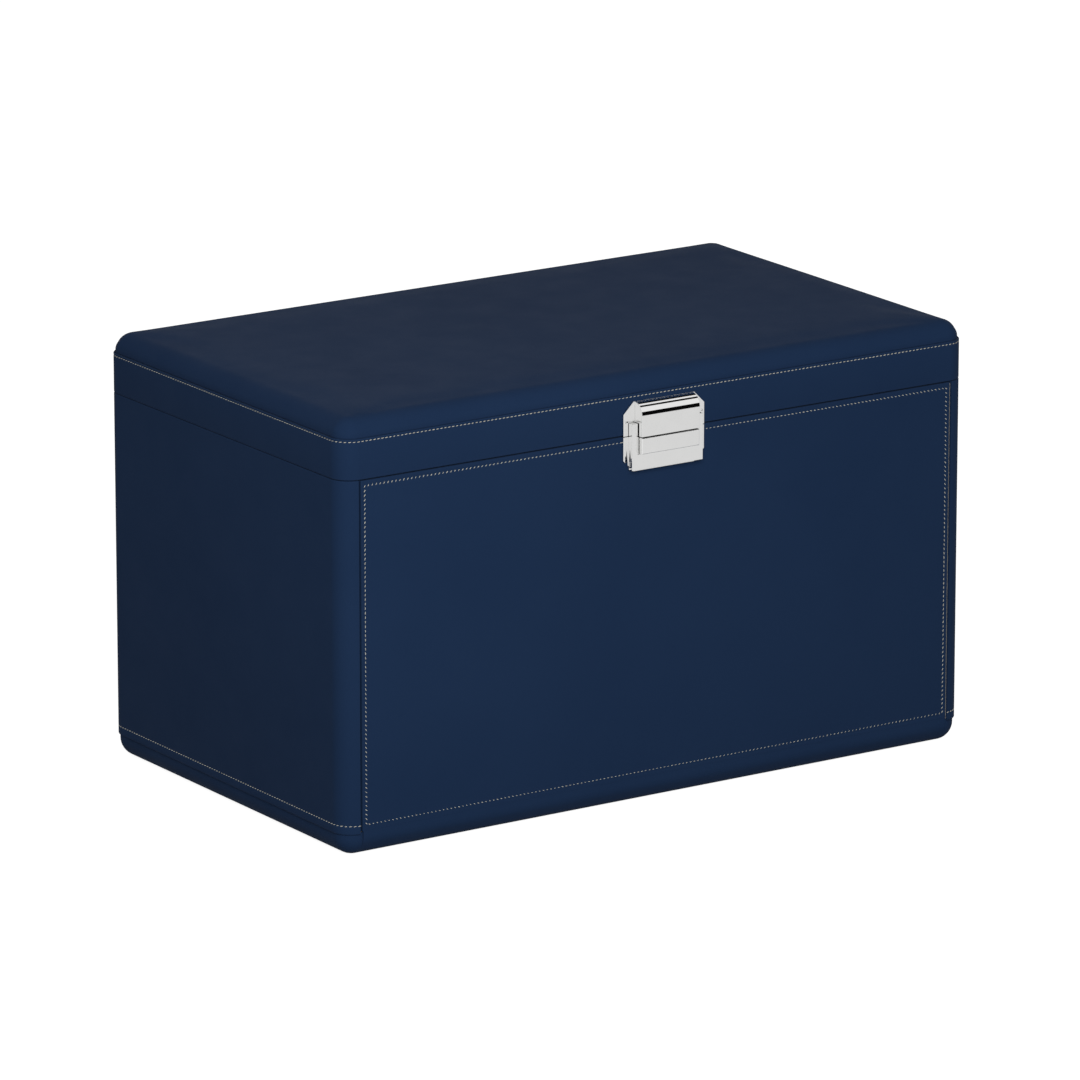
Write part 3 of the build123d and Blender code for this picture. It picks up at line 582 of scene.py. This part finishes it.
def makeFlapWrap():
    t, edge = case["leather"], flap["round"]
    front, backFace = flapLow.y, flapHigh.y
    line, half, deep = flap["stitchInset"], flap["grooveWidth"], flap["groove"]
    outer = [(line + half, front), (line + 0.5 * half, front + 0.5 * deep), (line, front + deep),
             (line - 0.4 * half, front + 0.5 * deep)]
    outer += arcProfile(edge, front + edge, edge, -90, 0, flap["steps"])
    lap = flap["backLap"]
    outer += arcProfile(lap, backFace, lap, 0, 90, 3)
    outer += [(flap["turnIn"], backFace + lap), (flap["turnIn"], backFace), (t, backFace), (t, front + t)]
    mesh = loft("flapWrap", flapHigh.x, (flapHigh.z - flapLow.z) / 2, flap["corner"], outer, upright,
                capFirst=True, capLast=True)
    piece = newPiece("flapWrap", mesh, "leather")
    smooth(piece, 40)
    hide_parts("flap_leather")
    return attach(piece, "flap")


# The leather that the flap turns on
fold = {"recess": 0.03 * mm, "thickness": 0.9 * mm, "rise": 1.2 * mm, "skive": 4.6 * mm, "straight": 11 * mm,
        "rings": 24, "in": 0.4 * mm, "thin": 0.1 * mm, "blendBelow": 0.7 * mm, "blendAbove": 0.6 * mm}


def makeHingeFold():
    low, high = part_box("hinge_leather")
    foot, top = fold["skive"], high.z + fold["rise"]
    points, faces = [], []
    for ring in range(fold["rings"] + 1):
        # from its skived end the leather leaves the base's round foot and runs up flush with the flap
        z = foot + (top - foot) * ring / fold["rings"]
        lean = math.sqrt(max(base["foot"] ** 2 - max(base["foot"] - z, 0.0) ** 2, 0.0))
        ground = low.y + base["inset"] + base["foot"] - lean
        share = min(1.0, (z - foot) / (fold["straight"] - foot))
        share = share * share * (3 - 2 * share)
        near = ground + share * (low.y + fold["recess"] - ground)
        far = near + fold["thin"] + (fold["thickness"] - fold["thin"]) * share
        points += [(low.x + fold["in"], near, z), (high.x - fold["in"], near, z),
                   (high.x - fold["in"], far, z), (low.x + fold["in"], far, z)]
    for ring in range(fold["rings"]):
        for here in range(4):
            there = (here + 1) % 4
            faces.append((4 * ring + here, 4 * ring + there, 4 * ring + 4 + there, 4 * ring + 4 + here))
    faces += [(0, 1, 2, 3), tuple(4 * fold["rings"] + k for k in range(4))]
    piece = newPiece("hingeFold", meshFrom("hingeFold", points, faces), "leather")
    smooth(piece, 50)
    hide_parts("hinge_leather")
    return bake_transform(piece)


# Stitches, laid along a line by Geometry Nodes
stitch = {"pitch": 2.3 * mm, "length": 1.52 * mm, "thick": 0.44 * mm, "stand": 0.02 * mm,
          "slant": 0.16, "seed": 7, "segments": 8, "rings": 6}


def stitchTree():
    tree = bpy.data.node_groups.new("stitchLine", "GeometryNodeTree")
    face = tree.interface
    face.new_socket("Line", in_out="INPUT", socket_type="NodeSocketGeometry")
    for name in ("Pitch", "Length", "Thickness", "Stand", "Slant"):
        face.new_socket(name, in_out="INPUT", socket_type="NodeSocketFloat")
    face.new_socket("Seed", in_out="INPUT", socket_type="NodeSocketInt")
    face.new_socket("Thread", in_out="INPUT", socket_type="NodeSocketMaterial")
    face.new_socket("Stitches", in_out="OUTPUT", socket_type="NodeSocketGeometry")
    make, wire = tree.nodes.new, tree.links.new
    given, result = make("NodeGroupInput").outputs, make("NodeGroupOutput")

    def vectorMaths(operation, first, second=None, scale=None):
        node = make("ShaderNodeVectorMath")
        node.operation = operation
        wire(first, node.inputs[0])
        if second is not None:
            wire(second, node.inputs[1])
        if scale is not None:
            wire(scale, node.inputs["Scale"])
        return node.outputs[0]

    curve = make("GeometryNodeMeshToCurve")
    wire(given["Line"], curve.inputs[0])
    span = make("GeometryNodeCurveLength")
    wire(curve.outputs[0], span.inputs[0])
    share = make("ShaderNodeMath")
    share.operation = "DIVIDE"
    wire(span.outputs[0], share.inputs[0])
    wire(given["Pitch"], share.inputs[1])
    whole = make("ShaderNodeMath")
    whole.operation = "ROUND"
    wire(share.outputs[0], whole.inputs[0])
    spots = make("GeometryNodeCurveToPoints")
    spots.mode = "COUNT"
    wire(curve.outputs[0], spots.inputs["Curve"])
    wire(whole.outputs[0], spots.inputs["Count"])
    outward = make("GeometryNodeInputNamedAttribute")
    outward.data_type = "FLOAT_VECTOR"
    outward.inputs["Name"].default_value = "outward"
    out = outward.outputs["Attribute"]
    lifted = make("GeometryNodeSetPosition")
    wire(spots.outputs["Points"], lifted.inputs["Geometry"])
    wire(vectorMaths("SCALE", out, scale=given["Stand"]), lifted.inputs["Offset"])
    tangent = make("GeometryNodeCaptureAttribute")
    tangent.capture_items.new("VECTOR", "Tangent")
    wire(lifted.outputs[0], tangent.inputs[0])
    wire(spots.outputs["Tangent"], tangent.inputs[1])
    side = vectorMaths("CROSS_PRODUCT", out, tangent.outputs[1])
    aim = vectorMaths("ADD", tangent.outputs[1], vectorMaths("SCALE", side, scale=given["Slant"]))
    turn = make("FunctionNodeAlignRotationToVector")
    turn.axis = "Z"
    wire(aim, turn.inputs["Vector"])
    bead = make("GeometryNodeMeshUVSphere")
    bead.inputs["Segments"].default_value = stitch["segments"]
    bead.inputs["Rings"].default_value = stitch["rings"]
    bead.inputs["Radius"].default_value = 0.5
    size = make("ShaderNodeCombineXYZ")
    wire(given["Thickness"], size.inputs[0])
    wire(given["Thickness"], size.inputs[1])
    wire(given["Length"], size.inputs[2])
    shaped = make("GeometryNodeTransform")
    wire(bead.outputs[0], shaped.inputs["Geometry"])
    wire(size.outputs[0], shaped.inputs["Scale"])
    vary = make("FunctionNodeRandomValue")
    vary.data_type = "FLOAT"
    vary.inputs[2].default_value = 0.92
    vary.inputs[3].default_value = 1.06
    wire(given["Seed"], vary.inputs["Seed"])
    laid = make("GeometryNodeInstanceOnPoints")
    wire(tangent.outputs[0], laid.inputs["Points"])
    wire(shaped.outputs[0], laid.inputs["Instance"])
    wire(turn.outputs[0], laid.inputs["Rotation"])
    wire(vary.outputs[1], laid.inputs["Scale"])
    real = make("GeometryNodeRealizeInstances")
    wire(laid.outputs[0], real.inputs[0])
    evenly = make("GeometryNodeSetShadeSmooth")
    wire(real.outputs[0], evenly.inputs[0])
    painted = make("GeometryNodeSetMaterial")
    wire(evenly.outputs[0], painted.inputs["Geometry"])
    wire(given["Thread"], painted.inputs["Material"])
    wire(painted.outputs[0], result.inputs[0])
    return tree


stitching = stitchTree()


def sewLine(name, points, outwards, closed, body):
    mesh = bpy.data.meshes.new(name)
    edges = [(k, k + 1) for k in range(len(points) - 1)]
    if closed:
        edges.append((len(points) - 1, 0))
    mesh.from_pydata(points, edges, [])
    attribute = mesh.attributes.new("outward", "FLOAT_VECTOR", "POINT")
    for number, outward in enumerate(outwards):
        attribute.data[number].vector = outward
    piece = newPiece(name, mesh)
    sewn = piece.modifiers.new("stitches", "NODES")
    sewn.node_group = stitching
    values = {"Pitch": stitch["pitch"], "Length": stitch["length"], "Thickness": stitch["thick"],
              "Stand": stitch["stand"], "Slant": stitch["slant"], "Seed": stitch["seed"],
              "Thread": threadFinish}
    for item in stitching.interface.items_tree:
        if item.in_out == "INPUT" and item.name in values:
            sewn[item.identifier] = values[item.name]
    settle(piece)
    print(name, len(piece.data.polygons) // (stitch["segments"] * stitch["rings"]), "stitches")
    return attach(piece, body)


def makeStitches():
    deep = body["groove"]
    path = bodyPath()
    height = wallLow.z + body["stitch"]
    stop = body["seamStop"]  # the seam stops short of the opening's edges
    sewn = path[stop:-stop]
    sewLine("bodyStitches", [(x - deep * outX, y - deep * outY, height) for x, y, outX, outY in sewn],
            [(outX, outY, 0) for _, _, outX, outY in sewn], False, "case")

    height = bandHigh.z - band["stitchDrop"]
    halfU, halfV, radius = case["halfWidth"], case["halfDepth"], case["cornerRadius"]
    loop = ringPoints(halfU, halfV, radius, band["groove"], case["cornerSteps"], (1, 1))
    away = []
    for x, y in loop:
        near = Vector((max(min(x, halfU - radius), radius - halfU),
                       max(min(y, halfV - radius), radius - halfV)))
        away.append((Vector((x, y)) - near).normalized())
    sewLine("lidStitches", [(x, y, height) for x, y in loop],
            [(out.x, out.y, 0) for out in away], True, "lid")

    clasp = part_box("clasp_plate")[1].x + flap["stitchClasp"]
    inset = flap["stitchInset"]
    right = flapHigh.x - inset
    low, high = flapLow.z + inset + flap["stitchFoot"], flapHigh.z - inset - flap["stitchTop"]
    front = flapLow.y + flap["groove"]
    corners = [(clasp, high), (right, high), (right, low), (-right, low), (-right, high), (-clasp, high)]
    sewLine("flapStitches", [(x, front, z) for x, z in corners], [(0, -1, 0)] * len(corners), False, "flap")


# Thin suede pads: the case's own and the drawers'
pads = {
    "cubbyCushion": {"node": "cubby_pad", "body": "case", "crown": 0.5 * mm, "fill": 0.3},
    "trayCushion": {"node": "tray_pad", "body": "case", "crown": 0.5 * mm, "fill": 0.3},
    "lowerDrawerCushion": {
        "node": "lower_drawer_pad", "body": "lower_drawer", "crown": 0.8 * mm, "fill": 0.4,
    },
    "upperDrawerCushion": {
        "node": "upper_drawer_pad", "body": "upper_drawer", "crown": 0.8 * mm, "fill": 0.4,
    },
}


def makePad(name, size):
    # a thin pad, fuller inside its edges, which roll under
    low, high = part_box(size["node"])
    centre = (low + high) / 2
    halfU, halfV = (high.x - low.x) / 2, (high.y - low.y) / 2
    thick = high.z - low.z
    edge = min(0.45 * thick, 0.4 * mm)
    profile = [(edge, low.z)] + arcProfile(edge, low.z + edge, edge, -60, 60, 4)
    for share in (0.0, 0.2, 0.45, 0.7, 1.0):
        profile.append((edge + 9 * mm * share, high.z + size["crown"] * math.sin(share * math.pi / 2)))

    def place(u, v, depth):
        return (centre.x + u, centre.y + v, depth)

    mesh = loft(name, halfU, halfV, 2.5 * mm, profile, place, capFirst=True, capLast=True)
    piece = newPiece(name, mesh, "suede")
    smooth(piece, 50)
    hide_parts(size["node"])
    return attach(piece, size["body"])


# The ring rolls
rolls = {
    "count": 10, "gap": 0.3 * mm, "voxel": 2.4 * mm, "steps": 12,
    "pressure": 4.0, "frames": 20, "rise": 1.0 * mm, "slack": 0.7, "held": 0.15, "fill": 0.75,
}


def makeRingRolls():
    low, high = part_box("ring_rolls")
    pitch = (high.y - low.y + rolls["gap"]) / rolls["count"]
    width, height, reach = pitch - rolls["gap"], high.z - low.z, high.x - low.x
    slack = rolls["slack"] * rolls["rise"]
    radius = width / 2 - slack
    steps = rolls["steps"]
    outline = [(-radius, 0.0)]
    for step in range(steps + 1):
        turn = math.pi - math.pi * step / steps
        outline.append((radius * math.cos(turn), height - slack - radius + radius * math.sin(turn)))
    outline.append((radius, 0.0))
    ends = ((0.0, 0.86), (0.012, 0.96), (0.03, 1.0), (0.5, 1.0), (0.97, 1.0), (0.988, 0.96), (1.0, 0.86))
    points, faces = [], []
    for share, full in ends:
        x = low.x + slack + (reach - 2 * slack) * share
        middle = height * 0.5
        for y, z in outline:
            points.append((x, y * full, low.z + (middle + (z - middle) * full if z > 0 else 0.0)))
    count = len(outline)
    for ring in range(len(ends) - 1):
        for here in range(count):
            there = (here + 1) % count
            faces.append((ring * count + here, ring * count + there,
                          (ring + 1) * count + there, (ring + 1) * count + here))
    faces += [tuple(range(count)), tuple(range((len(ends) - 1) * count, len(ends) * count))]
    roll = newPiece("ringRolls", meshFrom("ringRolls", points, faces), "suede")
    remesh = roll.modifiers.new("even", "REMESH")
    remesh.mode = "VOXEL"
    remesh.voxel_size = rolls["voxel"]
    settle(roll)
    pinned = [v.index for v in roll.data.vertices if v.co.z < low.z + rolls["held"] * height]
    clothPuff(roll, pinned, rolls["pressure"], rolls["frames"], rolls["rise"])
    rounder = roll.modifiers.new("soft", "SUBSURF")
    rounder.levels = rounder.render_levels = 1
    settle(roll)
    work = bmesh.new()
    for number in range(rolls["count"]):
        start = len(work.verts)
        work.from_mesh(roll.data)
        work.verts.ensure_lookup_table()
        shift = low.y + width / 2 + number * pitch
        for vertex in work.verts[start:]:
            vertex.co.y += shift
            vertex.co.z = max(vertex.co.z, low.z)
    mesh = bpy.data.meshes.new("ringRolls")
    work.to_mesh(mesh)
    work.free()
    mesh.materials.append(finishes["suede"])
    roll.data = mesh
    smooth(roll, 60)
    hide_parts("ring_rolls")
    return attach(roll, "case")


# The clasp's head, a quarter round of polished plate
head = {"steps": 32, "ease": 0.22 * mm}


def makeClaspHead():
    low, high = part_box("clasp_head")
    rise = high.y - low.y
    outline = [(high.y, low.z), (low.y, low.z), (low.y, high.z - rise)]
    for step in range(1, head["steps"] + 1):
        turn = math.pi / 2 * step / head["steps"]
        outline.append((high.y - rise * math.cos(turn), high.z - rise + rise * math.sin(turn)))
    points = [(x, y, z) for x in (low.x, high.x) for y, z in outline]
    count = len(outline)
    faces = [(k, (k + 1) % count, count + (k + 1) % count, count + k) for k in range(count)]
    faces += [tuple(range(count)), tuple(range(count, 2 * count))]
    piece = newPiece("claspHead", meshFrom("claspHead", points, faces), "clasp_chrome")
    softenEdges(piece, head["ease"], 3, 30)
    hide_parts("clasp_head")
    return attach(piece, "lid")


# Finer copies of CAD pieces: node, piece, slot, body, width of the eased edge in mm, steps
copies = [
    ("head_plate", "headPlate", "clasp_chrome", "lid", 0.16, 2),
    ("clasp_plate", "claspPlate", "clasp_chrome", "flap", 0.16, 2),
    ("clasp_frame", "claspFrame", "clasp_chrome", "flap", 0.14, 2),
    ("push_bar", "pushBar", "clasp_chrome", "push_bar", 0.10, 2),
    ("clasp_striker", "claspStriker", "hook_steel", "lid", 0.08, 2),
    ("head_screws", "headScrews", "screw_steel", "lid", 0.15, 2),
    ("plate_screws", "plateScrews", "screw_steel", "flap", 0.15, 2),
    ("lower_shelf", "lowerShelf", "suede", "case", 0.9, 4),
    ("upper_shelf", "upperShelf", "suede", "case", 0.9, 4),
    ("tray_deck", "trayDeck", "suede", "case", 0.9, 4),
    ("tray_front_board", "trayFront", "suede", "case", 1.4, 4),
    ("long_divider", "longDivider", "suede", "case", 1.3, 4),
    ("cross_divider", "crossDivider", "suede", "case", 1.3, 4),
    ("short_divider", "shortDivider", "suede", "case", 1.3, 4),
    ("hinge_body_leaves", "bodyHingeLeaves", "hinge_steel", "case", 0.12, 2),
    ("hinge_pins", "hingePins", "hinge_steel", "case", 0.15, 2),
    ("hinge_lid_leaves", "lidHingeLeaves", "hinge_steel", "lid", 0.12, 2),
    ("mirror_frame", "mirrorFrame", "frame_leather", "lid", 0.4, 3),
    ("flap_lining", "flapPanel", "suede", "flap", 0.25, 3),
    ("lower_drawer_front", "lowerDrawerFront", "suede", "lower_drawer", 0.5, 2),
    ("upper_drawer_front", "upperDrawerFront", "suede", "upper_drawer", 0.5, 2),
    ("lower_drawer_box", "lowerDrawerBox", "suede", "lower_drawer", 1.2, 4),
    ("upper_drawer_box", "upperDrawerBox", "suede", "upper_drawer", 1.2, 4),
    ("lower_drawer_dividers", "lowerDrawerDividers", "suede", "lower_drawer", 1.2, 4),
    ("upper_drawer_dividers", "upperDrawerDividers", "suede", "upper_drawer", 1.2, 4),
    ("lower_drawer_pulls", "lowerDrawerPulls", "pull_chrome", "lower_drawer", 0.35, 3),
    ("upper_drawer_pulls", "upperDrawerPulls", "pull_chrome", "upper_drawer", 0.35, 3),
]


makeBaseWrap()
makeBodyWrap()
makeBandWrap()
makePaddedTop()
makeLidLining()
makeFlapWrap()
makeHingeFold()
print("leather made")
makeStitches()
for padName, padSize in pads.items():
    makePad(padName, padSize)
makeRingRolls()
print("pads made")
makeClaspHead()
for nodeName, pieceName, slotName, bodyName, width, segments in copies:
    refined(nodeName, pieceName, slotName, bodyName, width * mm, segments)


def shiftEdge(pieceName, near, reach, move):
    # the points of one flat edge of a fitting moved a little up or down
    piece = bpy.data.objects[pieceName]
    for vertex in piece.data.vertices:
        if abs(vertex.co.z - near) < reach:
            vertex.co.z += move


# Edges of the clasp moved up or down: where, how near a point has to be, how far it moves
plateTop, headFoot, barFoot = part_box("clasp_plate")[1].z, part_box("head_plate")[0].z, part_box("push_bar")[0].z
slabFoot = 1.7 * mm  # above the foot of the bar's flange
shiftEdge("claspPlate", plateTop, 0.25 * mm, 0.2 * mm)
shiftEdge("headPlate", headFoot, 0.25 * mm, -0.35 * mm)
shiftEdge("pushBar", barFoot + slabFoot, 0.3 * mm, 0.28 * mm)
print("fittings made")


# Floor, light and dark cards
studio = {
    "skyLight": 0.32, "background": 1.0,
    "floorHalf": 9.0, "floorTone": 0.36, "floorSeen": 0.92, "floorMirrored": 0.56,
    "keyPlace": (-0.87, -1.62, 0.97), "keySize": 1.0, "keyPower": 37.4,
    "keyAim": (0, 0, 0.12), "floorLevel": -0.0002, "claspPlace": (0.0, -0.12, 0.2), "cardRange": 0.95,
}


def makeWorld():
    world = bpy.data.worlds.new("studio")
    scene.world = world
    world.use_nodes = True
    tree = world.node_tree
    tree.nodes.clear()
    rays = tree.nodes.new("ShaderNodeLightPath").outputs
    seen = tree.nodes.new("ShaderNodeMath")
    seen.operation = "MAXIMUM"
    tree.links.new(rays["Is Camera Ray"], seen.inputs[0])
    tree.links.new(rays["Is Glossy Ray"], seen.inputs[1])
    also = tree.nodes.new("ShaderNodeMath")
    also.operation = "MAXIMUM"
    tree.links.new(seen.outputs[0], also.inputs[0])
    tree.links.new(rays["Is Transmission Ray"], also.inputs[1])
    shades = []
    for strength in (studio["skyLight"], studio["background"]):
        shade = tree.nodes.new("ShaderNodeBackground")
        shade.inputs["Color"].default_value = (1, 1, 1, 1)
        shade.inputs["Strength"].default_value = strength
        shades.append(shade)
    mix = tree.nodes.new("ShaderNodeMixShader")
    tree.links.new(also.outputs[0], mix.inputs[0])
    tree.links.new(shades[0].outputs[0], mix.inputs[1])
    tree.links.new(shades[1].outputs[0], mix.inputs[2])
    out = tree.nodes.new("ShaderNodeOutputWorld")
    tree.links.new(mix.outputs[0], out.inputs["Surface"])


def makeFloor():
    half, level = studio["floorHalf"], studio["floorLevel"]
    mesh = bpy.data.meshes.new("floor")
    corners = [(-half, -half, level), (half, -half, level), (half, half, level), (-half, half, level)]
    mesh.from_pydata(corners, [], [(0, 1, 2, 3)])
    floor = bpy.data.objects.new("floor", mesh)
    scene.collection.objects.link(floor)
    material = bpy.data.materials.new("paleFloor")
    material.use_nodes = True
    tree = material.node_tree
    shader = tree.nodes["Principled BSDF"]
    shader.inputs["Base Color"].default_value = colour(*[studio["floorTone"]] * 3)
    shader.inputs["Roughness"].default_value = 1.0
    shader.inputs["Specular IOR Level"].default_value = 0.0
    rays = tree.nodes.new("ShaderNodeLightPath").outputs
    lift = 0.0
    for ray, strength in (("Is Camera Ray", studio["floorSeen"]), ("Is Glossy Ray", studio["floorMirrored"])):
        part = tree.nodes.new("ShaderNodeMath")
        part.operation = "MULTIPLY_ADD"
        tree.links.new(rays[ray], part.inputs[0])
        part.inputs[1].default_value = strength
        if lift:
            tree.links.new(lift, part.inputs[2])
        else:
            part.inputs[2].default_value = 0.0
        lift = part.outputs[0]
    shader.inputs["Emission Color"].default_value = (1, 1, 1, 1)
    tree.links.new(lift, shader.inputs["Emission Strength"])
    mesh.materials.append(material)


def makeFlags():
    # dark cards out of the picture, which only polished metal and gloss pick up
    centre = Vector(studio["claspPlace"])
    bands = {"horizonCard": (0.25, 0.75, [(-14.5, 0.655), (3.0, 0.66), (20.5, 0.67)]),
             "overheadCard": (0.25, 0.75, [(67.0, 0.66), (85.0, 0.66)]),
             "rearCard": (0.25, 0.75, [(104.0, 0.66), (131.0, 0.67), (150.0, 0.7)])}
    material = bpy.data.materials.new("blackCard")
    material.use_nodes = True
    shader = material.node_tree.nodes["Principled BSDF"]
    shader.inputs["Base Color"].default_value = colour(0.01, 0.01, 0.011)
    shader.inputs["Roughness"].default_value = 1.0
    shader.inputs["Specular IOR Level"].default_value = 0.0
    # cards fade from rays longer than cardRange, so that the open lid's mirror doesn't show them
    tree = material.node_tree
    near = tree.nodes.new("ShaderNodeMath")
    near.operation = "LESS_THAN"
    near.inputs[1].default_value = studio["cardRange"]
    tree.links.new(tree.nodes.new("ShaderNodeLightPath").outputs["Ray Length"], near.inputs[0])
    clear = tree.nodes.new("ShaderNodeBsdfTransparent")
    either = tree.nodes.new("ShaderNodeMixShader")
    tree.links.new(near.outputs[0], either.inputs[0])
    tree.links.new(clear.outputs[0], either.inputs[1])
    tree.links.new(shader.outputs[0], either.inputs[2])
    tree.links.new(either.outputs[0], tree.nodes["Material Output"].inputs["Surface"])
    for name, (left, right, edge) in bands.items():
        points = []
        for angle, reach in edge:
            turn = math.radians(angle)
            for x in (left, right):
                points.append((x, centre.y - reach * math.cos(turn), centre.z + reach * math.sin(turn)))
        faces = [(2 * k, 2 * k + 1, 2 * k + 3, 2 * k + 2) for k in range(len(edge) - 1)]
        mesh = bpy.data.meshes.new(name)
        mesh.from_pydata(points, [], faces)
        mesh.materials.append(material)
        card = bpy.data.objects.new(name, mesh)
        scene.collection.objects.link(card)
        card.visible_camera = False
        card.visible_diffuse = False
        card.visible_shadow = False
        card.visible_transmission = False


def makeKey():
    lamp = bpy.data.lights.new("key", "AREA")
    lamp.shape = "SQUARE"
    lamp.size = studio["keySize"]
    lamp.energy = studio["keyPower"]
    key = bpy.data.objects.new("key", lamp)
    scene.collection.objects.link(key)
    key.location = studio["keyPlace"]
    aim = Vector(studio["keyAim"]) - Vector(studio["keyPlace"])
    key.rotation_mode = "QUATERNION"
    key.rotation_quaternion = aim.to_track_quat("-Z", "Y")
    key.visible_glossy = False


# The camera
view = {"place": (-2.32143, -3.48494, 1.24995), "azimuth": 33.6853, "elevation": 15.2188, "lens": 281.078}


def makeCamera():
    data = bpy.data.cameras.new("camera")
    camera = bpy.data.objects.new("camera", data)
    scene.collection.objects.link(camera)
    data.sensor_width = 36
    data.lens = view["lens"]
    data.clip_start, data.clip_end = 0.1, 60
    camera.location = view["place"]
    turn, rise = math.radians(view["azimuth"]), math.radians(view["elevation"])
    back = Vector((-math.sin(turn) * math.cos(rise), -math.cos(turn) * math.cos(rise), math.sin(rise)))
    camera.rotation_mode = "QUATERNION"
    camera.rotation_quaternion = (-back).to_track_quat("-Z", "Y")
    scene.camera = camera


makeWorld()
makeFloor()
makeFlags()
makeKey()
makeCamera()
scene.view_settings.view_transform = "Standard"
print("studio made")
